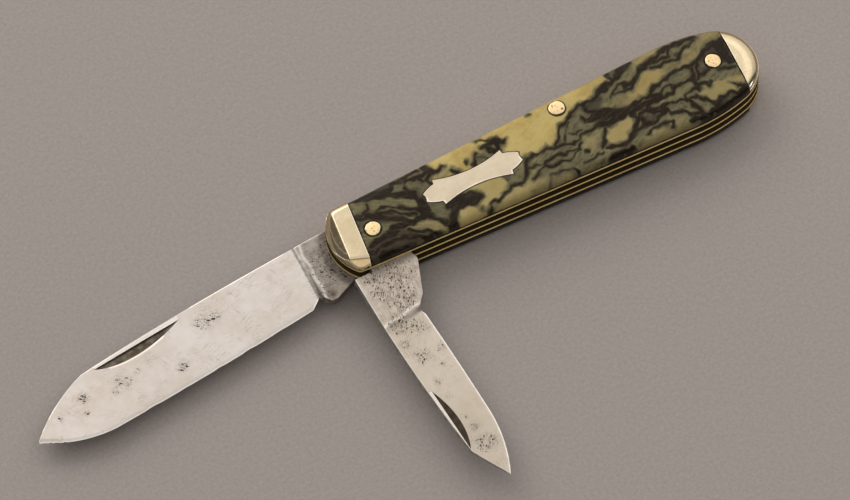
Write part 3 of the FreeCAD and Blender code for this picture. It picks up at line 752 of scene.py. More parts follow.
@dataclass(frozen=True)
class BladeSteel:
    """Worn blade steel: satin faces, grey tang, dark nail nick, pits, stains, bright edge lines with a
    painted highlight at the plunge, and painted shade on the back.
    """

    name: str
    turn: float
    satin: Colour = paint(211, 203, 197)
    warm: Colour = paint(188, 176, 160)
    tang: Colour = paint(140, 131, 121)
    tang_dark: Colour = paint(92, 84, 76)
    nick: Colour = paint(74, 68, 58)
    nick_worn: Colour = paint(104, 97, 86)
    scratch: Colour = paint(150, 139, 126)
    pit: Colour = paint(44, 39, 35)
    bright: Colour = paint(245, 241, 234)
    stain: Colour = paint(112, 102, 90)
    dirt_and_shade: Colour = paint(58, 48, 38)
    grain: float = 1.75
    hairlines: float = 0.027
    polish: float = 0.27
    pit_lie: float = 0.5
    pit_draw: Triple = (0.66, 1.3, 1.0)

    def material(self) -> Material:
        """Lays the shared effects and the blade's own masks over the steel.

        Returns:
            The material.
        """
        made, wires, shader = blank(self.name)
        place = wires.place()
        lines = HAIRLINES.use(wires, Place=place, Turn=self.turn, Width=self.hairlines)
        clouds = TARNISH.use(wires, Place=place, Size=0.11)
        drawn = wires.stretch(place, self.turn + self.pit_lie, self.pit_draw)
        pits = PITTING.use(wires, Place=drawn, Amount=wires.mask("pitted"), Grain=self.grain)
        wear_and_glint = EDGE_WEAR_AND_GLINT.use(wires, Place=place, Edge=wires.mask("edge"))["Mask"]
        # The dark mask holds dirt, and painted shade on the back's wall and on the tang by the bolster.
        dirt_and_shade = GRIME_AND_SHADE.use(wires, Place=place, Hollow=wires.mask("hollow"))["Mask"]
        tang, nick = wires.mask("tang"), wires.mask("nick")
        tone = wires.mix(wires.times(clouds["Mask"], 0.55), self.satin, self.warm)
        blotch = wires.plus(wires.times(clouds["Fine"], 0.5), wires.times(lines["Brushed"], 0.5))
        grey = wires.mix(wires.span(blotch, 0.42, 0.62, 0.0, 0.8), self.tang, self.tang_dark)
        tone = wires.mix(wires.times(tang, 0.85), tone, grey)
        tone = wires.mix(wires.times(lines["Mask"], 0.6), tone, self.scratch)
        tone = wires.mix(wires.times(pits["Stain"], 0.48), tone, self.stain)
        tone = wires.mix(wires.times(wear_and_glint, 0.8), tone, self.bright)
        tone = wires.mix(pits["Mask"], tone, self.pit)
        rust = wires.mix(wires.span(clouds["Fine"], 0.4, 0.62), self.nick, self.nick_worn)
        tone = wires.mix(nick, tone, rust)
        wires.put(shader["Base Color"], wires.mix(wires.times(dirt_and_shade, 0.8), tone, self.dirt_and_shade))
        rough = wires.plus(self.polish, wires.times(lines["Brushed"], 0.12))
        for share, amount in ((tang, 0.1), (nick, 0.2), (pits["Mask"], 0.3), (pits["Stain"], 0.12)):
            rough = wires.plus(rough, wires.times(share, amount))
        wires.put(shader["Roughness"], wires.plus(rough, wires.times(dirt_and_shade, 0.2), clamp=True))
        shade = wires.sum("MAXIMUM", wires.times(pits["Mask"], 0.7), wires.times(dirt_and_shade, 0.6))
        wires.put(shader["Metallic"], wires.less(1.0, shade, clamp=True))
        relief = wires.less(wires.times(lines["Brushed"], 0.25), wires.times(pits["Mask"], 2.0))
        relief = wires.less(relief, wires.times(lines["Mask"], 0.5))
        wires.put(shader["Normal"], wires.bump(relief, 0.01, 0.6))
        return made


@dataclass(frozen=True)
class PalePaper:
    """The plain paper that the knife lies on."""

    name: str = "pale_paper"
    tone: Colour = paint(168, 160, 155)
    fleck: Colour = paint(153, 145, 140)
    dullness: float = 0.95
    gloss: float = 0.1

    def material(self) -> Material:
        """Gives the paper a faint unevenness.

        Returns:
            The material.
        """
        made, wires, shader = blank(self.name)
        fibre = wires.noise(wires.place(), 1.5, 5.0, 0.85)
        wires.put(shader["Base Color"], wires.mix(wires.span(fibre, 0.3, 0.7), self.tone, self.fleck))
        shader["Roughness"].default_value = self.dullness
        shader["Specular IOR Level"].default_value = self.gloss
        return made


# The handle's common shape

@dataclass(frozen=True)
class HandleForm:
    """The handle seen from above, and the levels of its plates, in millimetres."""

    nose: float = 43.2
    nose_corner_x: float = -40.7
    nose_half: float = 6.47
    side_end_x: float = 26.7
    side_end_half: float = 8.775
    sweep_x: float = 27.88
    sweep_y: float = -25.7
    sweep_radius: float = 34.5
    end_start_x: float = 37.69
    end_x: float = 35.5
    end_radius: float = 7.69
    lean: float = math.radians(0.3)
    front_joint: float = -37.679
    front_slant: float = math.tan(math.radians(8.3))
    cap_joint: float = 39.062
    cap_slant: float = math.tan(math.radians(3.3))
    plate: float = 2.4

    def half(self, x: Array) -> Array:
        """Gives half the handle's width: a straight flare, a sweep arc and the round end.

        Args:
            x: Stations along the handle.

        Returns:
            Half the width at each.
        """
        share = (x - self.nose_corner_x) / (self.side_end_x - self.nose_corner_x)
        flare = self.nose_half + share * (self.side_end_half - self.nose_half)
        sweep = self.sweep_y + np.sqrt(np.maximum(self.sweep_radius**2 - (x - self.sweep_x) ** 2, 0.0))
        end = np.sqrt(np.maximum(self.end_radius**2 - (x - self.end_x) ** 2, 0.0))
        return np.where(x < self.side_end_x, flare, np.where(x < self.end_start_x, sweep, end))

    def joint_corner(self, start: float, slant: float, side: float) -> Point:
        """Finds where a slanted joint meets the handle's edge, by a few rounds of closing in.

        Args:
            start: Station of the joint on the centre line.
            slant: Run along the handle for each millimetre across.
            side: 1 for the back, -1 for the belly.

        Returns:
            The corner.
        """
        x = start
        for _ in range(CLOSING_ROUNDS):
            x = start + side * float(self.half(np.array(x))) * slant
        return (x, side * float(self.half(np.array(x))))


@dataclass(frozen=True)
class Face:
    """One outer face of the handle."""

    seat: float
    outward: float

    @classmethod
    def of(cls, side: Side) -> "Face":
        """Reads a face's place from its liner."""
        low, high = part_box(f"{side.value}_liner")
        return cls(high.z / MM, 1.0) if side is Side.MARK else cls(low.z / MM, -1.0)

    def level(self, rise: Array | float) -> Array | float:
        """Turns a height over the liner into a place on the upright axis."""
        return self.seat + self.outward * rise


FORM = HandleForm()


def plate_rings(loop: Array, rim: float, rise: Rise, rings: int) -> tuple[Array, Array]:
    """Builds a plate with a rounded rim over an outline that is seen whole from its middle.

    The two parameters are the place along the outline and the ring. The wall goes straight up, the rim is a
    quarter circle that moves in by its radius less the cosine and up by the sine, and the face is the outline
    shrunk towards its middle, laid on the height that the rise gives there.

    Args:
        loop: Outline, left side outwards or inwards, in order.
        rim: Radius of the rim.
        rise: Height of the face over the seat.
        rings: Number of rings on the face.

    Returns:
        Rings of x, y and height, and each point's distance in from the wall.
    """
    foot_shares, wall_shares, rim_steps, crowding = (0.0, 0.5, 1.0), (0.35, 0.7), 8, 1.8
    ahead, behind = np.roll(loop, -1, axis=0) - loop, loop - np.roll(loop, 1, axis=0)
    ahead /= np.linalg.norm(ahead, axis=1, keepdims=True)
    behind /= np.linalg.norm(behind, axis=1, keepdims=True)
    along = ahead + behind
    along /= np.linalg.norm(along, axis=1, keepdims=True)
    inward = np.stack([-along[:, 1], along[:, 0]], axis=1)
    x, y = loop[:, 0], loop[:, 1]
    area = np.sum(x * np.roll(y, -1) - y * np.roll(x, -1))
    inward *= math.copysign(1.0, area) / np.maximum(np.sum(along * ahead, axis=1, keepdims=True), 0.5)
    middle = loop.mean(axis=0)
    layers, depths = [], []

    def lay(flat: Array, height: Array | float, inset: Array | float) -> None:
        """Adds one ring."""
        layers.append(np.column_stack([flat, np.broadcast_to(height, len(flat))]))
        depths.append(np.broadcast_to(inset, len(flat)))

    for share in foot_shares:
        lay(middle + (loop - middle) * share, 0.0, 0.0)
    brink = loop + inward * rim
    top = rise(brink[:, 0], brink[:, 1])
    for share in wall_shares:
        lay(loop, np.maximum(top - rim, 0.0) * share, 0.0)
    for angle in np.linspace(0.0, math.pi / 2, rim_steps):
        inset = rim * (1.0 - math.cos(angle))
        lay(loop + inward * inset, np.maximum(top - rim * (1.0 - math.sin(angle)), 0.0), inset)
    reach = np.linalg.norm(brink - middle, axis=1)
    for share in np.linspace(0.0, 1.0, rings + 1)[1:] ** crowding:
        flat = middle + (brink - middle) * (1.0 - share)
        lay(flat, np.maximum(rise(flat[:, 0], flat[:, 1]), 0.0), rim + reach * share)
    return np.stack(layers), np.stack(depths)


# Scales

@dataclass
class ScaleCovers:
    """The two marbled covers between the bolsters."""

    belly_radius: float = 1.2
    back_radius: float = 1.75
    sink: float = 0.05
    crown: float = 0.07
    columns: int = 512
    across: int = 112
    edge_steps: int = 12
    wall_steps: int = 3
    wander: float = 0.12
    wander_draws: tuple[tuple[float, int], ...] = ((2.1, 3), (2.4, 4))
    smoky: float = 0.1
    smoky_front: Point = (-20.5, 3.0)
    smoky_rear: Point = (10.0, 6.0)
    belly_shade: float = 0.45
    belly_shade_start: float = 4.5
    belly_shade_run: float = 2.5
    blend: float = 4.0
    blend_limits: Point = (-9.0, 3.0)
    pin_reach: float = 1.4
    pin_fade: float = 0.45
    face_share: float = 0.8
    joint_fade: float = 0.4
    foot_fade: float = 0.8
    brink_depth: float = 0.16
    brink_width: float = 0.2
    inlay_shadow_and_dirt: float = 0.85
    inlay_width: float = 0.28
    inlay_margin: float = 1.0
    brink_steps: tuple[float, ...] = (0.0, 0.0006, 0.0012, 0.0018, 0.0026, 0.0036)
    brink_end: float = 0.005
    tones: tuple[tuple[float, ...], ...] = (
        (-35.8, 4.5, 1.5, 1.5, 0, 0.15), (-32.0, 3.0, 3.0, 1.0, -20, 0.15),
        (-29.0, 1.0, 3.5, 1.2, -28, 0.2), (-26.8, 4.2, 2.3, 1.0, -15, 0.05),
        (-24.0, 2.5, 1.2, 1.5, 0, -0.15), (-22.8, 5.4, 1.6, 0.6, 0, 0.5), (-36.5, -3.0, 1.0, 1.0, 0, 0.3),
        (-33.5, -2.4, 1.2, 0.6, 0, 0.1), (-34.0, -6.0, 4.5, 2.0, 0, -0.65),
        (-31.0, -4.6, 2.5, 0.6, -25, -0.4), (-26.0, -5.3, 3.0, 1.2, -28, 0.5),
        (-22.8, -4.0, 1.5, 1.4, 0, -0.1), (-27.0, -7.3, 2.5, 0.5, -20, 0.05),
        (-33.0, 0.5, 2.0, 1.0, -28, -0.4), (-31.5, 5.0, 3.0, 0.8, 0, -0.8), (-15.0, 5.2, 4.5, 1.6, 0, 1.0),
        (-19.0, 3.0, 1.5, 0.8, 0, 0.45), (-14.5, 3.0, 2.5, 1.0, 0, 0.8), (-11.0, 2.8, 1.0, 0.8, 0, 0.0),
        (-8.4, 4.0, 0.8, 0.7, 0, -0.2), (-1.0, 3.0, 5.5, 4.5, 0, 1.0), (-6.0, 6.3, 4.0, 1.0, 0, 1.0),
        (9.0, 5.9, 6.5, 1.6, 3, 0.9), (-18.0, -6.7, 3.0, 1.3, 0, 0.9), (-12.5, -4.2, 3.0, 1.9, 0, 0.9),
        (-8.0, -3.5, 1.5, 1.5, 0, 0.1), (-10.5, -7.0, 4.5, 1.1, 5, 0.75), (-4.5, -4.5, 1.6, 1.8, 60, 0.55),
        (-3.5, -7.3, 2.5, 1.0, 0, 0.45), (-2.5, -2.0, 1.6, 0.6, 0, 0.4), (0.5, -2.3, 2.8, 0.7, -8, 0.0),
        (1.0, -4.0, 3.0, 0.5, 5, -0.1), (2.5, -6.0, 4.5, 1.0, 0, 0.1), (0.5, -7.7, 2.6, 0.5, 0, 0.5),
        (6.5, -7.5, 2.5, 0.5, 0, 0.2), (5.2, -1.4, 1.5, 1.0, 0, 0.15), (7.5, 0.7, 2.0, 1.2, 15, 0.05),
        (8.7, 2.9, 1.2, 0.8, 40, 0.05), (4.0, 1.0, 0.9, 0.6, 45, -0.15), (2.8, -1.0, 1.0, 0.5, 0, -0.2),
        (8.4, -3.8, 2.4, 1.7, 35, 0.45), (13.6, -4.0, 3.3, 1.9, 20, 0.95), (12.0, 3.0, 1.8, 1.0, 0, -0.6),
        (16.3, 1.4, 3.0, 1.0, -12, 0.4), (22.5, 2.6, 5.0, 1.5, 22, 0.7), (28.5, 3.7, 3.0, 0.9, 5, 0.35),
        (34.0, 5.2, 4.0, 1.2, 18, 0.45), (19.5, 5.3, 3.5, 0.7, 25, 0.3), (17.0, 3.6, 2.0, 0.6, 15, 0.0),
        (25.0, 7.2, 3.0, 0.8, 12, 0.6), (26.5, 5.2, 2.5, 0.5, -3, 0.2), (29.3, 5.6, 1.0, 1.0, 0, -0.2),
        (32.0, 6.7, 2.3, 0.5, 10, 0.3), (28.3, 1.2, 1.8, 1.0, 0, 0.0), (23.8, 0.3, 1.5, 0.7, 15, 0.0),
        (25.5, -0.4, 1.0, 0.5, 0, 0.0), (24.5, -2.4, 3.2, 0.7, 8, 0.35), (25.8, -5.0, 1.8, 1.2, -20, 0.0),
        (19.7, -3.9, 1.0, 0.8, 0, -0.5), (22.0, -5.5, 2.5, 0.5, 20, 0.25), (17.5, -6.1, 2.5, 0.7, 5, 0.15),
        (19.8, -7.2, 2.2, 0.9, 0, 0.6), (24.0, -7.2, 1.4, 0.8, 0, 0.4), (32.0, 0.8, 1.3, 1.2, 0, -0.3),
        (34.5, -1.9, 3.0, 1.1, -10, 0.15), (34.3, -4.7, 4.0, 1.6, -12, 0.75),
        (28.5, -2.9, 1.1, 0.6, 0, 0.2), (29.8, -6.8, 1.3, 0.8, -25, 0.1), (18.1, 7.1, 0.7, 0.5, 0, -0.4),
        (36.5, 2.5, 2.0, 2.0, 0, -0.6), (35.0, -7.2, 2.0, 0.6, 0, -0.4), (15.0, 6.8, 2.0, 0.8, 0, 0.85),
    )
    veins: tuple[tuple[Run, ...], ...] = (
        ((-36.8, 6.0, 0.25), (-34.0, 5.3, 0.5), (-31.5, 4.9, 0.75), (-29.5, 4.6, 0.6), (-27.5, 5.4, 0.35),
         (-22.5, 6.2, 0.3)),
        ((-30.0, 4.2, 0.5), (-28.0, 3.2, 0.4), (-25.4, 1.4, 0.6), (-25.0, -0.5, 0.7), (-25.3, -2.4, 0.8)),
        ((-37.0, 2.5, 0.12), (-35.0, 2.5, 0.18), (-34.2, 3.1, 0.18), (-33.8, 3.9, 0.2)),
        ((-36.8, 2.0, 0.25), (-34.5, 1.6, 0.35), (-33.0, 0.5, 0.4), (-31.5, -0.6, 0.3), (-30.0, -1.7, 0.35),
         (-28.2, -2.9, 0.4)),
        ((-33.0, 1.6, 0.12), (-32.0, 2.1, 0.14), (-31.0, 1.9, 0.14), (-29.0, 0.6, 0.16), (-27.0, -0.8, 0.2),
         (-26.0, -1.6, 0.3)),
        ((-32.5, 1.2, 0.15), (-31.0, 0.8, 0.15), (-29.2, -0.7, 0.18), (-27.0, -2.1, 0.2)),
        ((-33.2, -2.9, 0.25), (-31.5, -2.6, 0.5), (-30.0, -3.0, 0.55), (-28.0, -3.3, 0.5),
         (-26.3, -3.0, 0.5), (-25.2, -2.4, 0.6)),
        ((-37.4, -4.2, 0.35), (-35.5, -3.6, 0.4), (-33.5, -3.6, 0.35), (-31.5, -3.7, 0.3)),
        ((-37.8, -5.4, 0.3), (-35.0, -5.0, 0.2), (-32.0, -5.0, 0.2), (-29.6, -5.9, 0.25),
         (-27.2, -7.0, 0.3), (-25.5, -7.8, 0.4)),
        ((-36.5, -6.6, 0.3), (-34.5, -6.6, 0.25), (-32.5, -7.2, 0.3), (-29.0, -7.6, 0.3)),
        ((-29.6, -4.3, 0.3), (-28.6, -5.2, 0.28), (-27.0, -6.0, 0.25), (-25.5, -6.9, 0.28),
         (-24.2, -7.9, 0.3)),
        ((-24.9, -3.4, 0.3), (-24.4, -4.5, 0.2), (-23.2, -5.4, 0.22), (-22.7, -6.2, 0.4)),
        ((-21.2, -3.2, 0.4), (-18.5, -3.5, 1.3), (-16.5, -3.8, 1.45), (-15.3, -4.1, 0.8)),
        ((-20.2, -4.2, 0.8), (-21.5, -6.0, 0.65), (-22.0, -7.4, 0.8), (-22.2, -8.4, 0.8)),
        ((-15.0, -7.8, 0.18), (-13.8, -6.4, 0.24), (-11.3, -6.0, 0.2), (-9.0, -4.9, 0.25),
         (-6.7, -5.3, 0.2), (-5.7, -4.1, 0.25), (-4.6, -2.6, 0.22), (-4.0, -1.2, 0.22), (-2.6, -0.9, 0.16),
         (-1.5, -1.5, 0.18), (0.2, -1.0, 0.24), (1.5, -1.5, 0.22), (3.8, -1.9, 0.24), (5.0, -2.4, 0.24),
         (6.3, -2.0, 0.15), (7.3, -1.4, 0.16), (8.8, -1.4, 0.2), (11.2, -0.9, 0.45)),
        ((-4.9, -2.9, 0.1), (-3.2, -3.3, 0.14), (-1.9, -3.6, 0.2), (0.0, -3.1, 0.24), (1.2, -3.0, 0.18),
         (2.7, -3.6, 0.2), (3.6, -3.3, 0.15), (5.2, -3.8, 0.2), (6.1, -3.0, 0.2)),
        ((-5.0, -5.5, 0.12), (-3.8, -5.2, 0.18), (-2.6, -4.4, 0.18), (-1.6, -3.8, 0.2)),
        ((-1.5, -4.2, 0.2), (-0.4, -4.9, 0.25), (2.1, -4.7, 0.2), (3.2, -5.2, 0.25), (4.2, -4.4, 0.15),
         (5.4, -3.9, 0.15)),
        ((-2.4, -7.5, 0.06), (-1.7, -6.3, 0.1), (0.0, -6.4, 0.12), (1.4, -6.4, 0.12), (2.4, -7.1, 0.16),
         (3.2, -8.0, 0.4)),
        ((4.7, -6.8, 0.12), (6.0, -6.9, 0.12), (7.7, -6.5, 0.12), (9.0, -6.4, 0.15)),
        ((6.2, -4.7, 0.3), (6.5, -4.9, 0.35)),
        ((0.5, 6.9, 0.2), (0.7, 6.9, 0.2)),
        ((-15.9, -6.5, 0.2), (-15.7, -6.5, 0.2)),
        ((-21.3, 6.2, 0.45), (-20.8, 5.2, 0.45), (-20.2, 4.3, 0.55), (-19.2, 4.2, 0.45),
         (-18.2, 4.5, 0.15)),
        ((-20.9, 4.2, 0.4), (-22.0, 3.2, 0.4), (-21.5, 2.2, 0.35)),
        ((-25.6, 4.9, 0.25), (-24.0, 4.8, 0.2), (-22.2, 4.6, 0.2), (-21.4, 4.9, 0.3)),
        ((-26.2, 3.8, 0.14), (-25.9, 2.8, 0.16), (-25.3, 2.0, 0.4)),
        ((-23.0, 4.5, 0.2), (-22.9, 3.2, 0.18)),
        ((-17.0, 3.0, 0.45), (-16.4, 2.2, 0.5)),
        ((-13.9, 3.4, 0.1), (-13.8, 3.0, 0.14)),
        ((-12.9, 2.0, 0.25), (-12.2, 3.0, 0.24), (-11.7, 3.9, 0.22)),
        ((-12.3, 3.2, 0.1), (-11.0, 3.2, 0.14), (-10.3, 2.4, 0.12)),
        ((-10.2, 4.7, 0.25), (-9.2, 4.6, 0.3), (-7.9, 5.1, 0.4), (-6.6, 4.4, 0.65), (-5.5, 4.3, 0.12)),
        ((-9.1, 4.4, 0.3), (-9.0, 3.2, 0.35), (-8.3, 2.5, 0.4), (-7.4, 3.1, 0.5), (-7.0, 4.1, 0.5)),
        ((-10.3, 6.4, 0.2), (-9.2, 6.1, 0.1), (-8.3, 5.5, 0.2)),
        ((1.8, -1.3, 0.24), (2.7, -0.5, 0.24), (3.4, 0.7, 0.2), (4.4, 1.8, 0.2), (5.6, 2.2, 0.2),
         (7.1, 3.0, 0.22), (8.3, 3.8, 0.22), (9.6, 4.1, 0.25), (11.7, 4.2, 0.3), (13.4, 4.5, 0.4),
         (14.8, 5.2, 0.6), (16.5, 5.6, 0.45), (18.5, 6.4, 0.4), (20.0, 7.2, 0.55), (21.3, 7.9, 0.3)),
        ((3.4, -1.8, 0.14), (4.2, -0.6, 0.14), (5.3, 1.0, 0.1), (6.2, 1.9, 0.1)),
        ((5.2, -0.1, 0.12), (6.2, -0.7, 0.18), (7.3, -0.5, 0.12)),
        ((8.6, 1.7, 0.15), (9.2, 0.7, 0.45), (11.0, 0.6, 0.75), (13.0, 0.1, 0.75), (15.0, -0.4, 0.85),
         (17.5, -1.0, 0.6), (20.0, -1.2, 0.5), (22.0, -1.3, 0.35), (24.0, -1.4, 0.24), (25.6, -1.5, 0.24),
         (26.8, -0.6, 0.28), (29.3, -0.4, 0.3), (30.4, -0.9, 0.4)),
        ((11.0, -0.9, 0.5), (12.5, -1.6, 0.6), (14.0, -1.4, 0.5), (16.5, -1.2, 0.5)),
        ((10.2, 3.9, 0.3), (10.2, 2.6, 0.25), (11.2, 1.8, 0.24), (13.0, 1.0, 0.5), (14.8, 0.1, 0.6)),
        ((17.2, 8.0, 0.3), (17.1, 7.0, 0.22), (17.4, 6.3, 0.3)),
        ((19.3, 7.7, 0.5), (21.4, 8.1, 0.3)),
        ((15.3, 3.0, 0.1), (16.4, 3.8, 0.14), (18.1, 4.7, 0.14), (19.3, 4.4, 0.2)),
        ((16.0, 3.2, 0.1), (17.7, 3.2, 0.14), (19.4, 2.9, 0.22), (20.4, 3.6, 0.32), (21.3, 4.5, 0.32),
         (22.1, 5.3, 0.28), (23.3, 5.6, 0.28), (24.6, 6.1, 0.3), (26.0, 5.9, 0.2), (28.3, 5.7, 0.12)),
        ((18.4, 3.5, 0.2), (19.2, 4.1, 0.4), (20.6, 4.0, 0.4)),
        ((23.7, 6.2, 0.2), (24.8, 6.4, 0.24), (26.5, 6.6, 0.28), (27.5, 7.2, 0.28), (29.0, 7.6, 0.35),
         (31.0, 7.5, 0.5), (33.0, 7.4, 0.35), (35.0, 7.2, 0.15)),
        ((24.6, 5.1, 0.08), (25.7, 4.7, 0.1), (28.5, 4.9, 0.14), (29.3, 4.5, 0.14), (30.0, 4.3, 0.12),
         (30.4, 5.0, 0.2), (31.2, 5.7, 0.22), (32.7, 5.9, 0.14), (34.2, 6.7, 0.08)),
        ((28.7, 5.6, 0.14), (29.1, 6.4, 0.14), (29.4, 7.2, 0.2)),
        ((18.1, -0.8, 0.3), (19.2, 0.1, 0.2), (20.8, 0.0, 0.2), (22.1, 0.1, 0.24), (22.9, 1.0, 0.3),
         (24.4, 1.4, 0.25), (26.0, 1.8, 0.24), (27.3, 2.3, 0.2), (28.8, 2.4, 0.2), (31.7, 2.2, 0.2),
         (33.3, 2.8, 0.3), (34.6, 3.4, 0.35), (35.8, 4.2, 0.4), (37.3, 4.2, 0.55), (38.8, 4.0, 0.6)),
        ((37.7, 3.4, 0.7), (37.8, 1.5, 0.6), (38.2, -0.4, 0.5)),
        ((22.2, -0.3, 0.28), (23.6, -0.7, 0.28), (24.6, 0.3, 0.14), (25.8, 0.3, 0.14), (26.6, -0.4, 0.28)),
        ((30.0, 2.1, 0.15), (31.2, 1.6, 0.18), (30.8, 0.5, 0.22), (30.3, -0.9, 0.4), (30.2, -2.3, 0.4),
         (30.5, -3.2, 0.2)),
        ((32.4, 2.1, 0.14), (31.9, 0.4, 0.1), (31.4, -0.8, 0.2), (32.6, -0.5, 0.14), (33.7, 0.1, 0.1)),
        ((20.0, -2.0, 0.2), (21.2, -2.7, 0.28), (22.5, -3.1, 0.28), (25.0, -3.1, 0.2), (26.3, -3.3, 0.24),
         (27.1, -3.9, 0.3), (27.6, -3.0, 0.18), (28.5, -2.5, 0.14), (30.0, -2.6, 0.3)),
        ((30.8, -2.0, 0.18), (31.8, -2.2, 0.14), (32.3, -2.9, 0.18), (33.0, -2.4, 0.1)),
        ((17.3, -1.8, 0.4), (17.5, -3.2, 0.35), (18.2, -2.6, 0.18), (19.4, -2.3, 0.14), (20.4, -2.8, 0.2),
         (21.3, -3.6, 0.4), (23.0, -3.9, 0.35)),
        ((17.3, -3.4, 0.4), (16.5, -4.6, 0.3), (15.6, -5.6, 0.24), (17.0, -5.2, 0.2), (18.8, -5.0, 0.3),
         (19.8, -5.3, 0.3), (22.1, -4.5, 0.24), (23.2, -4.3, 0.24), (23.7, -5.1, 0.28), (24.8, -5.3, 0.24),
         (25.8, -6.0, 0.24), (27.0, -7.0, 0.3), (28.0, -7.4, 0.3)),
        ((18.2, -3.3, 0.3), (18.4, -4.8, 0.35)),
        ((27.6, -3.9, 0.3), (27.8, -5.0, 0.3), (28.3, -6.3, 0.35), (28.6, -7.6, 0.4)),
        ((28.3, -4.0, 0.2), (29.2, -4.0, 0.35), (29.7, -4.9, 0.28), (30.6, -5.4, 0.28), (31.2, -6.4, 0.28),
         (31.8, -7.4, 0.3)),
        ((31.7, -7.3, 0.4), (32.9, -6.5, 0.28), (34.8, -6.2, 0.22), (36.5, -6.6, 0.35), (38.2, -6.8, 0.5)),
        ((26.0, -7.9, 0.25), (29.0, -8.3, 0.4), (33.0, -8.0, 0.4), (37.0, -7.4, 0.4)),
        ((36.2, -4.5, 0.1), (37.0, -5.6, 0.2), (38.3, -6.3, 0.25)),
        ((35.4, -1.0, 0.14), (36.7, -1.2, 0.18), (38.2, -1.9, 0.14)),
        ((11.4, -2.2, 0.3), (10.6, -3.6, 0.18), (10.0, -4.8, 0.3), (9.2, -5.5, 0.3)),
        ((10.2, -5.9, 0.28), (11.5, -6.4, 0.28), (13.0, -6.8, 0.32), (14.3, -6.4, 0.28), (15.4, -5.7, 0.3)),
        ((9.5, -8.1, 0.3), (11.5, -7.9, 0.5), (14.0, -8.0, 0.4)),
        ((17.9, -7.0, 0.1), (18.7, -6.3, 0.1), (20.2, -6.3, 0.14), (22.9, -6.4, 0.18), (22.6, -7.6, 0.2)),
    )
    pins: tuple[Point, ...] = ((-35.25, -1.0), (5.75, 5.55), (35.35, 1.1))

    def vein_gap(self, x: Array, y: Array) -> Array:
        """Gives how far points lie from the veins: the distance to a vein's line less its half width there.

        Args:
            x: Places along the handle.
            y: Places across it.

        Returns:
            The least such distance, below zero inside a vein.
        """
        gap = np.full(x.shape, np.inf)
        for vein in self.veins:
            path = np.array(vein)
            start, step = path[:-1], np.diff(path, axis=0)
            dx, dy = x[..., None] - start[:, 0], y[..., None] - start[:, 1]
            along = (dx * step[:, 0] + dy * step[:, 1]) / np.square(step[:, :2]).sum(axis=1)
            share = np.clip(along, 0.0, 1.0)
            away = np.hypot(dx - share * step[:, 0], dy - share * step[:, 1])
            away = away - start[:, 2] - share * step[:, 2]
            gap = np.minimum(gap, away.min(axis=-1))
        return gap

    def warmth(self, x: Array, y: Array) -> Array:
        """Spreads the tones of soft ellipses, each weighed by how deep a point lies in it.

        The depth is one less the distance from the middle in half lengths and half widths, times the lesser
        of the two halves.

        Args:
            x: Places along the handle.
            y: Places across it.

        Returns:
            The tone, from -1 for slate over 0 for moss to 1 for cream.
        """
        table = np.array(self.tones)
        dx, dy = x[..., None] - table[:, 0], y[..., None] - table[:, 1]
        angle = np.radians(table[:, 4])
        along = dx * np.cos(angle) + dy * np.sin(angle)
        across = dy * np.cos(angle) - dx * np.sin(angle)
        far = np.hypot(along / table[:, 2], across / table[:, 3])
        depth = (1.0 - far) * np.minimum(table[:, 2], table[:, 3])
        weight = np.exp(self.blend * np.clip(depth, *self.blend_limits))
        return (weight * table[:, 5]).sum(axis=-1) / weight.sum(axis=-1)

    def rings(self) -> Array:
        """Carries the cover's section from joint to joint.

        The first parameter goes along the handle between the two slanted joints, and the second round the
        section: up the belly wall, round the edge's quarter circle, over the slightly crowned face and down
        the back.

        Returns:
            Rings of x, y and height over the liner.
        """
        top = FORM.plate - self.sink
        angle = np.linspace(0.0, math.pi / 2, self.edge_steps)[1:]
        insets, heights = [], []
        for radius in (self.belly_radius, self.back_radius):
            wall = np.linspace(0, top - radius, self.wall_steps)
            insets.append(np.concatenate([np.zeros(self.wall_steps), radius * (1 - np.cos(angle))]))
            heights.append(np.concatenate([wall, top - radius * (1 - np.sin(angle))]))
        share = np.linspace(-1.0, 1.0, self.across + 1)[1:-1]
        between = self.belly_radius + (self.back_radius - self.belly_radius) * (share + 1.0) / 2.0
        brink = np.array(self.brink_steps)
        length = np.linspace(self.brink_end, 1.0 - self.brink_end, self.columns)
        along = np.concatenate([brink, length, 1.0 - brink[::-1]])[:, None]
        edge = np.concatenate([-np.ones(len(insets[0])), share, np.ones(len(insets[1]))])
        step = np.concatenate([insets[0], between, insets[1][::-1]])
        rise = np.concatenate([heights[0], top - self.crown * share**2, heights[1][::-1]])
        rise = rise - np.where(np.abs(edge) == 1.0, np.minimum(self.crown, rise * self.crown / top), 0.0)
        x = FORM.front_joint + along * (FORM.cap_joint - FORM.front_joint) + 0.0 * edge
        for _ in range(CLOSING_ROUNDS):
            y = edge * (FORM.half(x) - step)
            start = FORM.front_joint + y * FORM.front_slant
            x = start + along * (FORM.cap_joint + y * FORM.cap_slant - start)
        brink_drop = self.brink_depth * (1.0 - ease(self.joint_gap(x, y) / self.brink_width))
        return np.stack([x, y, np.maximum(rise - brink_drop * rise / top, 0.0)], axis=-1)

    def joint_gap(self, x: Array, y: Array) -> Array:
        """Gives how far points lie from the nearer of the two slanted joints, along the handle.

        Args:
            x: Places along the handle.
            y: Places across it.

        Returns:
            The distance.
        """
        front = x - FORM.front_joint - y * FORM.front_slant
        cap = FORM.cap_joint + y * FORM.cap_slant - x
        return np.maximum(np.minimum(front, cap), 0.0)

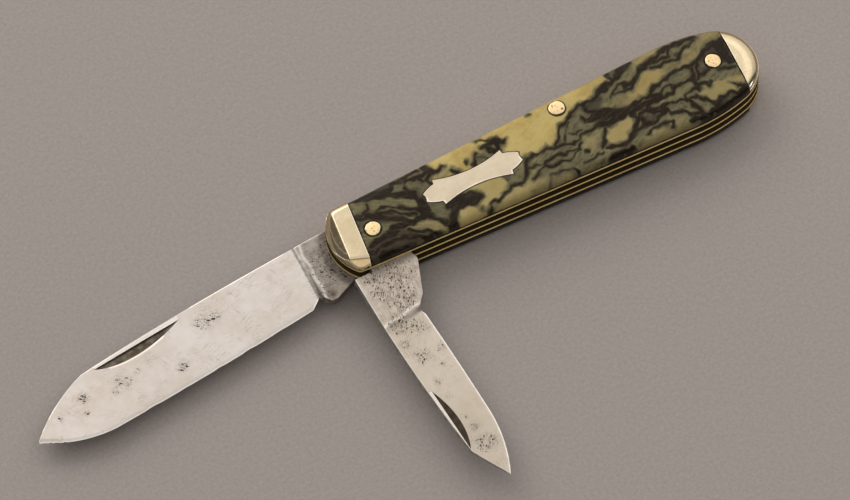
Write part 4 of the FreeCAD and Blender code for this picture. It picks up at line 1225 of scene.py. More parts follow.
    def inlay_line(self, x: Array, y: Array, inlay: Array) -> Array:
        """Marks the dark joint round the inlaid shield, dirt with a painted shadow: a thin line that follows
        its outline.

        Args:
            x: Places along the handle.
            y: Places across it.
            inlay: The shield's outline.

        Returns:
            The mask.
        """
        mark = np.zeros(x.shape)
        near = np.abs(x - inlay[:, 0].mean()).min(axis=1) < np.ptp(inlay[:, 0]) / 2 + self.inlay_margin
        gap = np.hypot(x[near][..., None] - inlay[:, 0], y[near][..., None] - inlay[:, 1]).min(axis=-1)
        mark[near] = self.inlay_shadow_and_dirt * np.exp(-((gap / self.inlay_width) ** 2))
        return mark

    def marbling(self, x: Array, y: Array, side: Side) -> tuple[Array, Array]:
        """Lays the veins and tones on one face, with wandering lines and smoky ends.

        The pile face has the sheet turned half round, and painted shade towards its belly, which turns the
        face there to vein colour.

        Args:
            x: Places along the handle.
            y: Places across it.
            side: Which face.

        Returns:
            The distance from the veins and the tone.
        """
        flip = 1.0 if side is Side.MARK else -1.0
        length, width = (
            flip * (way + self.wander * ripple(x, y, rate, seed))
            for way, (rate, seed) in zip((x, y), self.wander_draws)
        )
        patch, warmth = self.vein_gap(length, width), self.warmth(length, width)
        front, rear = self.smoky_front, self.smoky_rear
        smoke = np.maximum(ease((front[0] - length) / front[1]), ease((length - rear[0]) / rear[1]))
        patch = patch - self.smoky * smoke
        # Painted shade: the pile face darkens towards its belly, its veins spreading over the face there.
        if side is Side.PILE:
            painted_shade = ease((-y - self.belly_shade_start) / self.belly_shade_run)
            patch = patch * (1.0 - painted_shade) - self.belly_shade * painted_shade
        return patch, warmth

    def build(self, side: Side, finish: MarbledCelluloid, inlay: Array) -> None:
        """Makes one cover.

        Args:
            side: Which face it is on.
            finish: Its finish.
            inlay: Outline of the shield that is let into the mark face.
        """
        flat = self.rings()
        rings = turned(flat, FORM.lean)
        x, y = rings[..., 0], rings[..., 1]
        patch, warmth = self.marbling(x, y, side)
        near = np.min([np.hypot(x - a, y - b) for a, b in self.pins], axis=0)
        ring = np.exp(-((np.maximum(near - self.pin_reach, 0.0) / self.pin_fade) ** 2))
        ring = ring * (flat[..., 2] > FORM.plate * self.face_share)
        gap = np.exp(-self.joint_gap(flat[..., 0], flat[..., 1]) / self.joint_fade)
        # Darker towards the foot, where the cover meets the liner: painted shade in that gap, with dirt.
        low = np.exp(-flat[..., 2] / self.foot_fade)
        hollow = np.clip(np.maximum(np.maximum(ring, gap), low), 0.0, 1.0)
        # The mark cover gets a dark line round the shield: dirt in the joint with a painted shadow.
        if side is Side.MARK:
            hollow = np.maximum(hollow, self.inlay_line(x, y, inlay))
        face = Face.of(side)
        rings[..., 2] = face.level(flat[..., 2])
        masks = {"patch": patch, "warmth": warmth, "hollow": hollow}
        piece = skin(f"{side.value}_cover", rings, Ends.LIDS, masks)
        fit(piece, Body.HANDLE, finish.material(), (f"{side.value}_scale",))


# Bolsters, shield and pins

@dataclass
class Bolsters:
    """The faceted front bolsters and the domed caps."""

    crease_x: float = -41.14
    nose_fall: float = 1.6 / 2.1
    belly_start: float = 5.75
    belly_turn: float = math.radians(20.3)
    belly_fall: float = 1.6
    nose_x: float = -33.58
    nose_radius: float = 9.62
    rim_thin: float = 0.22
    rim_wide: float = 1.25
    nose_crispness: float = 30.0
    nose_tarnish: float = 0.76
    nose_foot: float = 0.7
    belly_crispness: float = 7.0
    rim_crispness: float = 3.0
    rim_start: float = -3.0
    rim_run: float = 8.0
    least: float = 0.3
    dome: float = 1.75
    dome_reach: float = 2.9
    rim: float = 0.06
    step: float = 0.13
    face_rings: int = 48
    crease: float = 24.0
    edge_fade: float = 0.2
    edge_least: float = 0.4
    foot_dirt: float = 0.9
    foot_fade: float = 0.15
    nose_blend: float = 0.25
    nose_inset: float = 0.5
    nose_inset_run: float = 0.8
    foot_start: float = 1.4
    foot_run: float = 1.2
    front_runs: tuple[Run, ...] = (
        (-40.02, -6.49, 0.147), (-41.17, -5.91, 2.03), (-41.35, 5.62, 0.25), (-39.66, 6.5, 0.0),
    )

    def belly_side(self, x: Array, y: Array) -> Array:
        """Gives how far points lie past the crease of the belly facet, below zero on the band."""
        joint = FORM.front_joint + y * FORM.front_slant
        return (-y - self.belly_start) * math.cos(self.belly_turn) + (joint - x) * math.sin(self.belly_turn)

    def nose_side(self, x: Array, y: Array) -> Array:
        """Gives how far points lie past the crease of the nose facet, below zero on the band."""
        return (self.crease_x + y * FORM.front_slant - x) * math.cos(math.atan(FORM.front_slant))

    def front_rise(self, x: Array, y: Array) -> Array:
        """Gives the front bolster's face: the lowest of a level band and two falling planes, less its rim.

        The creases are eased, and the rim grows from thin at the belly to wide along the back.

        Args:
            x: Places along the handle.
            y: Places across it.

        Returns:
            Height over the liner.
        """
        flat = np.full_like(x, FORM.plate)
        nose = FORM.plate - self.nose_side(x, y) * self.nose_fall
        belly = FORM.plate - self.belly_side(x, y) * self.belly_fall
        planes = soft_floor([soft_floor([flat, nose], self.nose_crispness), belly], self.belly_crispness)
        tip = self.nose_radius - np.hypot(x - self.nose_x, y)
        inset = soft_floor([tip, FORM.half(x) - y, FORM.half(x) + y], self.rim_crispness)
        width = self.rim_thin + (self.rim_wide - self.rim_thin) * ease((y - self.rim_start) / self.rim_run)
        return np.maximum(planes - rounding(np.maximum(inset, 0.0), width), self.least)

    def cap_rise(self, x: Array, y: Array) -> Array:
        """Gives the cap's height: level, less a wide elliptic edge by the distance from the round end."""
        inset = FORM.end_radius - np.hypot(x - FORM.end_x, y)
        return FORM.plate - rounding(np.maximum(inset, 0.0) * self.dome / self.dome_reach, self.dome)

    def front_loop(self) -> Array:
        """Draws the front bolster's outline.

        Returns:
            The outline.
        """
        low = FORM.joint_corner(FORM.front_joint, FORM.front_slant, -1.0)
        high = FORM.joint_corner(FORM.front_joint, FORM.front_slant, 1.0)
        return bowed_line(((*low, 0.0), *self.front_runs, (*high, 0.0)), self.step, closed=True)

    def cap_loop(self) -> Array:
        """Draws the cap's outline: an arc round the end and a straight joint.

        Returns:
            The outline.
        """
        low = FORM.joint_corner(FORM.cap_joint, FORM.cap_slant, -1.0)
        high = FORM.joint_corner(FORM.cap_joint, FORM.cap_slant, 1.0)
        chord = math.dist(low, high)
        bow = FORM.end_radius - math.sqrt(FORM.end_radius**2 - chord**2 / 4)
        return bowed_line(((*low, -bow), (*high, 0.0)), self.step, closed=True)

    def nose_dirt(self, rings: Array, inset: Array) -> Array:
        """Marks where the front bolster keeps dirt: inside its nose facet and along the foot of the nose.

        Args:
            rings: Rings of x, y and height over the liner.
            inset: Distance in from the wall.

        Returns:
            The mask.
        """
        x, y, height = rings[..., 0], rings[..., 1], rings[..., 2]
        facet = self.nose_tarnish * ease(self.nose_side(x, y) / self.nose_blend)
        facet = facet * ease((inset - self.nose_inset) / self.nose_inset_run)
        front = ease((self.crease_x + self.foot_start - x) / self.foot_run)
        return np.maximum(facet, np.exp(-height / self.nose_foot) * front)

    def build(self, side: Side, finish: PlatedMetal) -> None:
        """Makes one face's two bolsters.

        Args:
            side: Which face they are on.
            finish: Their finish.
        """
        face = Face.of(side)
        metal = finish.material()
        shapes = (
            (Tip.FRONT, self.front_loop(), self.front_rise),
            (Tip.CAP, self.cap_loop(), self.cap_rise),
        )
        for tip, loop, rise in shapes:
            rings, inset = plate_rings(loop, self.rim, rise, self.face_rings)
            height = rings[..., 2].copy()
            edge = np.exp(-inset / self.edge_fade) * (height > self.edge_least)
            hollow = np.exp(-height / self.foot_fade) * self.foot_dirt
            if tip is Tip.FRONT:
                hollow = np.maximum(hollow, self.nose_dirt(rings, inset))
            rings = turned(rings, FORM.lean)
            rings[..., 2] = face.level(height)
            name, masks = f"{side.value}_{tip.value}", {"edge": edge, "hollow": hollow}
            piece = skin(f"{name}_metal", rings, Ends.POLES, masks, self.crease)
            fit(piece, Body.HANDLE, metal, (f"{name}_bolster",))


@dataclass
class ShieldPlate:
    """The inlaid shield, with the pins that hold it flush under its face."""

    middle: float = -14.35
    turn: float = math.radians(-0.7)
    thickness: float = 0.6
    rim: float = 0.1
    step: float = 0.2
    face_rings: int = 20
    edge_fade: float = 0.26
    back_edge_glint_share: float = 0.35
    foot_fade: float = 0.3
    runs: tuple[Run, ...] = (
        (-9.7, -0.85, -0.15), (-7.0, -1.95, 0.0), (-6.85, -2.8, 1.15), (6.85, -2.8, 0.0), (7.0, -1.95, -0.15),
        (9.7, -0.85, 0.2), (9.7, 0.85, -0.15), (7.0, 1.95, 0.0), (6.85, 2.8, 1.15), (-6.85, 2.8, 0.0),
        (-7.0, 1.95, -0.15), (-9.7, 0.85, 0.2),
    )

    def outline(self) -> Array:
        """Draws the shield's outline in its place on the handle."""
        loop = bowed_line(self.runs, self.step, closed=True)
        return turned(loop, self.turn) + np.array([self.middle, 0.0])

    def level(self, x: Array, y: Array) -> Array:
        """Gives the shield's flat face: the same height everywhere."""
        return np.full_like(x + y, self.thickness)

    def build(self, finish: PlatedMetal) -> None:
        """Makes the shield: a level plate with an eased rim over the eared outline.

        Args:
            finish: Its finish.
        """
        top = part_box("shield")[1].z / MM
        loop = bowed_line(self.runs, self.step, closed=True)
        rings, inset = plate_rings(loop, self.rim, self.level, self.face_rings)
        # Bright rim: worn bright all round, and brighter on the belly side as a painted highlight.
        edge = np.exp(-inset / self.edge_fade) * np.where(rings[..., 1] < 0.0, 1.0, self.back_edge_glint_share)
        hollow = np.exp(-rings[..., 2] / self.foot_fade)
        rings = turned(rings, self.turn)
        rings[..., 0] += self.middle
        rings[..., 2] += top - self.thickness
        piece = skin("shield_plate", rings, Ends.POLES, {"edge": edge, "hollow": hollow})
        nodes = ("shield", "shield_front_pin", "shield_rear_pin")
        fit(piece, Body.HANDLE, finish.material(), nodes)


@dataclass(frozen=True)
class Rivet:
    """One pin: its node, its place, and how its head is flattened on one side by peening."""

    node: str
    place: Point
    luck: float
    flat_way: float
    flat_reach: float


@dataclass
class RivetPins:
    """The three brass pins, peened a little unevenly at both ends."""

    head: float = 1.43
    shank: float = 1.1
    dome: float = 0.06
    rise: float = 0.02
    proud: float = 0.035
    neck: float = 0.7
    lip: float = 0.03
    lip_share: float = 0.2
    tilt: float = 0.02
    tilt_reach: float = 3.0
    flat_least: float = 0.2
    rim_fade: float = 0.12
    wall_fade: float = 0.2
    around: int = 60
    shares: tuple[float, ...] = (0.0, 0.3, 0.55, 0.75, 0.88, 0.95, 0.99, 1.0, 1.0)
    wall_drops: Point = (0.14, 0.5)
    lobes: tuple[tuple[float, int, int], ...] = ((0.03, 2, 1), (0.025, 3, 2), (0.014, 5, 3))
    rivets: tuple[Rivet, ...] = (
        Rivet("pivot_pin", (-35.25, -0.98), 0.4, 2.3, 1.36),
        Rivet("spring_pin", (5.78, 5.7), 2.1, 1.6, 1.3),
        Rivet("end_pin", (35.4, 1.15), 4.0, 4.0, 1.3),
    )

    def profile(self, low: float, high: float) -> tuple[Array, Array]:
        """Draws a pin from one head to the other: domed faces with a rounded lip, and the shank between.

        Args:
            low: Foot of the pin's node.
            high: Top of the pin's node.

        Returns:
            Radius and height of each ring, as columns.
        """
        share = np.array(self.shares)
        face = share[: -len(self.wall_drops)]
        drop = self.dome * face**2 + self.lip * rounding(1.0 - face, self.lip_share) / self.lip_share
        drop = np.concatenate([drop, self.wall_drops])
        radius = np.concatenate([share * self.head, [self.shank] * 2, (share * self.head)[::-1]])
        top, foot = high + self.rise - drop, (low - self.rise + drop)[::-1]
        level = np.concatenate([top, [high - self.neck, low + self.neck], foot])
        return radius[:, None], np.clip(level, 0.0, high + self.rise)[:, None]

    def swell(self, rivet: Rivet, angle: Array) -> Array:
        """Gives how much wider a head is round its rim: a sum of sines, cut off by the flattened side.

        Args:
            rivet: The pin.
            angle: Angles round it.

        Returns:
            The share to add to the radius.
        """
        uneven = sum(size * np.sin(count * angle + shift * rivet.luck) for size, count, shift in self.lobes)
        facing = np.maximum(np.cos(angle - rivet.flat_way), self.flat_least)
        return np.minimum(uneven, rivet.flat_reach / facing / self.head - 1.0)

    def build(self, finish: PlatedMetal) -> None:
        """Turns each pin's profile on its axis, with its heads swelling unevenly and tilted a little.

        Args:
            finish: Their finish.
        """
        metal = finish.material()
        angle = np.linspace(0.0, 2 * math.pi, self.around, endpoint=False)
        for rivet in self.rivets:
            x, y = rivet.place
            low, high = (corner.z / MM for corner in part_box(rivet.node))
            middle = (low + high) / 2
            radius, level = self.profile(low, high)
            share = radius / self.head
            wide = radius * (1.0 + self.swell(rivet, angle) * share**2)
            tilt = self.tilt * np.sin(angle + rivet.luck) * share * (np.abs(level - middle) > self.tilt_reach)
            height = np.clip(level + tilt, 0.0, high + self.proud)
            rings = np.stack([x + wide * np.cos(angle), y + wide * np.sin(angle), height], axis=-1)
            rim = np.exp(-np.abs(radius - self.head) / self.rim_fade) + 0.0 * angle
            shown = np.exp(-np.maximum(high - level, 0.0) / self.wall_fade) + 0.0 * angle
            hollow = np.clip(1.0 - shown, 0.0, 1.0) * (level > middle)
            masks = {"edge": rim * shown, "hollow": hollow}
            piece = skin(f"{rivet.node}_peened", rings, Ends.POLES, masks)
            fit(piece, Body.HANDLE, metal, (rivet.node,))


# Blades

@dataclass(frozen=True)
class NailNick:
    """A nail nick: its straight side, from the point end to the tang end, and how wide and deep it is cut.

    The shares of the blade's depth say where the mesh's rows lie beside and beyond it.
    """

    start: Point
    stop: Point
    width: float
    depth: float
    skew: float
    blend: float = 5.0
    even_back: float = 0.09
    least_back: float = 0.02
    most_back: float = 0.5
    least_gap: float = 0.04
    even_gap: float = 0.1
    most_gap: float = 0.4
    run_out: float = 0.8
    most_depth: float = 0.7
    shown: float = 0.01


@dataclass
class Blade:
    """One blade, drawn open along -x with its pivot at the origin, in millimetres."""

    node: str
    body: Body
    hinge: str
    turn: float
    back: tuple[Run, ...]
    edge: tuple[Run, ...]
    plunge: float
    plunge_lean: float
    droop: float
    thick_level: float
    thin_level: float
    taper_start: float
    nick: NailNick
    spots: tuple[tuple[float, ...], ...]
    chips: tuple[Triple, ...] = ()
    plunge_grime: float = 0.0
    plunge_shine: float = 0.5
    spine_shade: float = 0.62
    kick_stain: float = 0.0
    tuck: float = -9.3
    tuck_grime_and_shade: float = 0.0
    tang_half: float = 0.845
    spine_half: float = 0.75
    thin_half: float = 0.15
    thin_limit: float = 0.8
    thick_limit: float = 0.04
    taper: float = 0.4
    taper_run: float = 26.0
    least: float = 0.02
    plunge_run: float = 1.3
    edge_half: float = 0.03
    bevel: float = 0.26
    corner: float = 0.12
    crease: float = 26.0
    line_step: float = 0.15
    tang_run: float = 6.0
    point_run: float = 3.0
    point_crowding: float = 1.7
    steps: tuple[int, int, int] = (150, 190, 26)
    back_fade: float = 0.16
    edge_fade: float = 0.3
    brink_shine: float = 0.5
    far_face_shift: float = 3.1

    def stations(self, back: Array) -> Array:
        """Picks stations along the blade, closer at the tang and the point, with every corner of the outline.

        Args:
            back: The back line.

        Returns:
            Stations from tang to point.
        """
        tip = back[:, 0].min()
        first, second, third = self.steps
        tang = np.linspace(back[:, 0].max(), self.plunge - self.tang_run, first)
        face = np.linspace(self.plunge - self.tang_run, tip + self.point_run, second)
        point = tip + self.point_run * np.linspace(1.0, 0.0, third) ** self.point_crowding
        corners = [run[0] for run in self.back + self.edge]
        return np.unique(np.round(np.concatenate([tang, face, point, corners]), 4))[::-1]

    def rows(self, x: Array, high: Array, depth: Array) -> tuple[Array, ...]:
        """Spaces rows from the back to the nick's straight side, across the nick and on to the edge.

        The nick's width is a parabola over its length, skewed towards one end. Past its ends the rows ease
        back to even shares of the blade's depth.

        Args:
            x: Stations.
            high: Height of the back at each.
            depth: Depth of the blade at each.

        Returns:
            Distance from the back, share of the way across the nick, and the nick's width.
        """
        nick = self.nick
        length = nick.stop[0] - nick.start[0]
        along = (x - nick.start[0]) / length
        line = nick.start[1] + along * (nick.stop[1] - nick.start[1])
        past = np.maximum(np.maximum(-along, along - 1.0), 0.0)
        outside = ease(past * abs(length) / nick.blend)
        width = nick.width * np.maximum(1.0 - (2.0 * np.clip(along, 0.0, 1.0) ** nick.skew - 1.0) ** 2, 0.0)
        first = (high - line) * (1.0 - outside) + nick.even_back * depth * outside
        first = np.clip(first, nick.least_back * depth, nick.most_back * depth)
        gap = np.maximum(width, nick.least_gap + outside * nick.even_gap * depth)
        second = np.minimum(first + gap, first + nick.most_gap * depth)
        spine = np.array([0.0, 0.03, 0.1, 0.22, 0.5, 0.85])
        across = np.concatenate([[0.0, 0.045], np.linspace(0.12, 1.0, 13)])
        face = np.concatenate([np.linspace(0.0, 0.9, 24)[1:], [0.93, 0.955, 0.975, 0.99, 1.0]])
        parts = [first * spine, first + (second - first) * across, second + (depth - second) * face]
        row = np.concatenate([np.zeros(len(spine)), across, np.ones(len(face))])
        return np.concatenate(parts, axis=1), row, width

    def half_thickness(
        self, x: Array, y: Array, off: Array, left: Array, face: Array
    ) -> Array:
        """Gives half the blade's thickness before the nick is cut.

        It is the tang's, easing at the plunge into a flat grind that thins evenly towards the edge and the
        point, less the rounded back and the edge bevel.

        Args:
            x: Places along the blade.
            y: Places across it.
            off: Distance from the back.
            left: Distance from the edge.
            face: 1 on the grind and 0 on the tang.

        Returns:
            Half the thickness.
        """
        level = y * math.cos(self.droop) - x * math.sin(self.droop)
        share = (level - self.thin_level) / (self.thick_level - self.thin_level)
        ground = self.thin_half + share * (self.spine_half - self.thin_half)
        ground = np.clip(ground, self.thin_half * self.thin_limit, self.spine_half + self.thick_limit)
        ground = ground * (1.0 - self.taper * ease((self.taper_start - x) / self.taper_run))
        ground = np.minimum(ground, self.edge_half + left * self.bevel)
        half = self.tang_half + (ground - self.tang_half) * face
        return half - np.minimum(rounding(np.minimum(off, left + face), self.corner), half - self.least)

    def build(self, finish: BladeSteel) -> None:
        """Makes the blade as a grid of stations along it and rows from back to edge, on both faces.

        The mark face also has the nick: deepest just under its straight side, from which it runs out.

        Args:
            finish: The blade's finish.
        """
        back, edge = (bowed_line(runs, self.line_step) for runs in (self.back, self.edge))
        x = self.stations(back)[:, None]
        high, low = level_on(back, x), level_on(edge, x)
        for at, wide, deep in self.chips:
            low = low + deep * np.maximum(1.0 - ((x - at) / wide) ** 2, 0.0)
        depth = np.maximum(high - low, self.least)
        off, row, width = self.rows(x, high, depth)
        y, left = high - off, depth - off
        face = ease((self.plunge + y * self.plunge_lean - x) / self.plunge_run)
        half = self.half_thickness(x, y, off, left, face)
        inside = (row > 0.0) & (row < 1.0) & (width > 0.0)
        cut = self.nick.depth * np.sqrt(width / self.nick.width) * (1.0 - row) ** self.nick.run_out * inside
        cut = np.minimum(cut, half * self.nick.most_depth)
        upper = np.stack(np.broadcast_arrays(x, y, half - cut), axis=-1)
        under = np.stack(np.broadcast_arrays(x, y, -half), axis=-1)
        rings = np.concatenate([upper[:, ::-1], under], axis=1)
        shapes = {
            "tang": (1.0 - face, 1.0 - face),
            "nick": (np.where(inside & (cut > self.nick.shown), 1.0, 0.0), np.zeros_like(half)),
            "edge": (np.maximum(self.bright_lines(off, left, face, row, width), self.ridge(x, y)),) * 2,
            "pitted": (self.pitted(x, y, 0), self.pitted(x, y, 1)),
            "hollow": (self.dirt_and_shade_marks(x, y, off, left),) * 2,
        }
        masks = {
            name: np.concatenate([over[:, ::-1], below], axis=1) for name, (over, below) in shapes.items()
        }
        hinge = next(joint for joint in frame["joints"] if joint["name"] == self.hinge)
        pivot = np.array(hinge["pos_m"]) / MM
        rings = turned(rings, self.turn) + pivot
        piece = skin(f"{self.node}_ground", rings, Ends.LIDS, masks, self.crease)
        fit(piece, self.body, finish.material(), (self.node,))

    def bright_lines(
        self, off: Array, left: Array, face: Array, row: Array, width: Array
    ) -> Array:
        """Marks the edges that handling keeps bright: the back, the cutting edge and the nick's brink.

        Args:
            off: Distance from the back.
            left: Distance from the edge.
            face: 1 on the grind and 0 on the tang.
            row: Share of the way across the nick.
            width: Width of the nick.

        Returns:
            The mask.
        """
        back = np.exp(-off / self.back_fade)
        edge = np.exp(-left / self.edge_fade) * face
        brink = np.where((row == 0.0) & (width > 0.0), self.brink_shine, 0.0)
        return np.clip(np.maximum(np.maximum(back, edge), brink), 0.0, 1.0)

    def ridge(self, x: Array, y: Array) -> Array:
        """Marks a painted highlight where the tang ends: a soft wavering line across the blade."""
        line = x - self.plunge - y * self.plunge_lean - 0.25 - 0.18 * np.sin(1.3 * y + 0.6)
        return self.plunge_shine * np.exp(-((line / 0.5) ** 2))

    def dirt_and_shade_marks(self, x: Array, y: Array, off: Array, left: Array) -> Array:
        """Marks dirt and painted shade: painted shade on the back's wall, dirt in the notch, the plunge and
        the kick, and dirt with a painted shadow on the tang at the bolster.

        Each but the back fades with the distance from a line or a point.

        Args:
            x: Places along the blade.
            y: Places across it.
            off: Distance from the back.
            left: Distance from the edge.

        Returns:
            The mask.
        """
        # The back's wall darkens as painted shade.
        spine = self.spine_shade * (off <= 0.0)
        notch = np.exp(-np.hypot(x - self.plunge + 1.0, left) / 0.5) * 0.7
        line = x - self.plunge - y * self.plunge_lean
        band = self.plunge_grime * np.exp(-(((line + 0.9) / 0.5) ** 2))
        kick = self.kick_stain * np.exp(-np.hypot(line - 1.5, left - 1.2) / 1.7)
        # The tang by the bolster darkens: dirt with a painted shadow.
        tuck = self.tuck_grime_and_shade * np.exp(-np.maximum(self.tuck + 0.05 * y**2 - x, 0.0) / 1.6)
        return np.clip(np.max(np.broadcast_arrays(spine, notch, band, kick, tuck), axis=0), 0.0, 1.0)

    def pitted(self, x: Array, y: Array, face: int) -> Array:
        """Adds up soft round spots of corrosion.

        Args:
            x: Places along the blade.
            y: Places across it.
            face: 0 for the mark face, 1 for the other, whose spots lie a little further along.

        Returns:
            The amount of pitting.
        """
        table = np.array(self.spots)
        gap = np.hypot((x + face * self.far_face_shift)[..., None] - table[:, 0], y[..., None] - table[:, 1])
        return np.clip((table[:, 3] * np.exp(-((gap / table[:, 2]) ** 2))).sum(axis=-1), 0.0, 1.0)


def main_blade() -> Blade:
    """Gives the sizes of the main blade, a broad spear with an angled back near the point."""
    return Blade(
        node="main_blade", body=Body.MAIN, hinge="main_blade_hinge", turn=0.0,
        back=(
            (3.4, 2.5, -0.264), (2.5, 3.4, 0.0), (-6.4, 3.4, 0.0), (-6.46, 6.25, -0.52), (-58.9, 0.6, -0.8),
            (-71.5, -7.62, -0.1), (-71.86, -8.2, 0.0),
        ),
        edge=(
            (3.4, -2.17, 0.2), (2.63, -3.06, 0.0), (-3.49, -3.92, 0.0), (-10.6, -7.15, 0.12),
            (-12.1, -7.18, 0.0), (-13.6, -5.2, 0.0), (-15.8, -7.0, 0.25), (-58.0, -11.9, 1.0),
            (-71.2, -8.52, 0.08), (-71.86, -8.24, 0.0),
        ),
        plunge=-12.65, plunge_lean=0.03, droop=math.radians(6.5),
        thick_level=7.6, thin_level=-5.25, taper_start=-44.0,
        nick=NailNick((-56.3, 0.35), (-38.2, 2.35), 1.95, 0.42, 0.86),
        spots=(
            (-34.6, -0.2, 1.5, 0.95), (-31.8, 0.1, 1.1, 1.0), (-42.1, -6.4, 1.4, 0.9),
            (-53.0, -4.3, 1.9, 0.85), (-55.0, -5.6, 0.6, 0.8), (-60.8, -4.0, 1.0, 0.7),
            (-61.5, -6.8, 0.6, 0.66), (-66.1, -6.1, 1.0, 0.58), (-30.3, -6.3, 0.5, 0.75),
            (-8.5, 0.0, 5.5, 0.74), (-24.0, 2.5, 0.8, 0.6), (-47.0, -2.5, 1.2, 0.6),
            (-12.5, -4.5, 2.0, 0.45), (-27.5, 3.0, 0.7, 0.55), (-49.5, -3.6, 0.9, 0.55),
            (-22.0, -5.5, 0.6, 0.5), (-61.0, -4.5, 6.5, 0.21), (-35.0, -0.6, 4.0, 0.2),
        ),
        chips=(
            (-67.7, 0.35, 0.16), (-69.1, 0.5, 0.12), (-70.0, 0.3, 0.16), (-29.8, 1.4, 0.11),
            (-36.2, 1.1, 0.07), (-50.4, 1.6, 0.11), (-23.0, 1.8, 0.06), (-43.5, 1.2, 0.05),
        ),
        plunge_grime=0.62, kick_stain=0.85, plunge_run=0.95, tuck_grime_and_shade=0.54,
    )


def pen_blade() -> Blade:
    """Gives the sizes of the pen blade, slim with a straight clipped point."""
    return Blade(
        node="pen_blade", body=Body.PEN, hinge="pen_blade_hinge", turn=math.radians(90.0),
        back=(
            (3.4, 2.5, -0.264), (2.5, 3.4, 0.0), (-6.4, 3.4, 0.0), (-6.46, 7.04, -0.7),
            (-47.3, 5.06, -0.05), (-54.3, 1.12, 0.0), (-54.48, 1.0, 0.0),
        ),
        edge=(
            (3.4, -2.33, 0.2), (2.56, -3.23, 0.0), (-3.75, -3.67, 0.0), (-6.9, -4.95, 0.1),
            (-8.1, -4.97, 0.0), (-14.1, -2.7, 0.08), (-15.0, -2.15, 0.0), (-16.8, -0.6, 0.0),
            (-18.2, -1.1, 0.1), (-41.0, -1.9, 0.765), (-54.48, 0.97, 0.0),
        ),
        plunge=-16.5, plunge_lean=-0.19, droop=math.radians(2.0),
        thick_level=7.55, thin_level=-0.47, taper_start=-34.0,
        nick=NailNick((-46.8, 5.0), (-33.2, 5.65), 1.45, 0.4, 0.9),
        spots=(
            (-9.0, -0.2, 4.4, 0.74), (-14.0, 1.4, 2.2, 1.0), (-11.3, 5.0, 1.5, 0.8), (-18.3, 4.4, 1.9, 1.0),
            (-22.4, 5.5, 0.8, 0.9), (-26.0, 3.7, 1.6, 0.58), (-25.5, -0.3, 0.9, 0.6),
            (-31.9, 3.8, 1.0, 0.5), (-35.3, 3.2, 1.2, 0.5), (-46.8, 2.2, 1.8, 0.6), (-46.7, 0.8, 0.8, 0.9),
            (-42.9, 2.2, 0.8, 0.85), (-20.0, 1.0, 1.6, 0.65), (-6.5, 4.0, 2.7, 0.85),
            (-12.6, 2.8, 1.2, 1.0), (-29.0, 1.0, 0.6, 0.6), (-40.5, 2.6, 0.5, 0.7), (-24.0, 2.4, 8.0, 0.27),
            (-46.5, 1.6, 5.0, 0.28),
        ),
    )


# Liners and springs keep their solids

@dataclass
class InnerParts:
    """The liners and back springs, whose CAD solids stay and get a finish."""

    liners: tuple[str, ...] = ("mark_liner", "centre_liner", "pile_liner")
    springs: tuple[str, ...] = ("main_spring", "pen_spring")

    def dress(self, brass: PlatedMetal, steel: PlatedMetal) -> None:
        """Gives each kept solid its finish.

        Args:
            brass: Finish of the liners.
            steel: Finish of the springs.
        """
        for names, finish in ((self.liners, brass), (self.springs, steel)):
            metal = finish.material()
            for name in names:
                node = frame["nodes"][name]
                node.data.materials.clear()
                node.data.materials.append(metal)
                log.info("%s keeps its solid, in %s", name, metal.name)


# Studio

@dataclass(frozen=True)
class SoftBox:
    """A soft box: the way to it from the knife, its width and height in metres, power and colour."""

    name: str
    towards: Triple
    size: Point
    watts: float
    tone: Colour


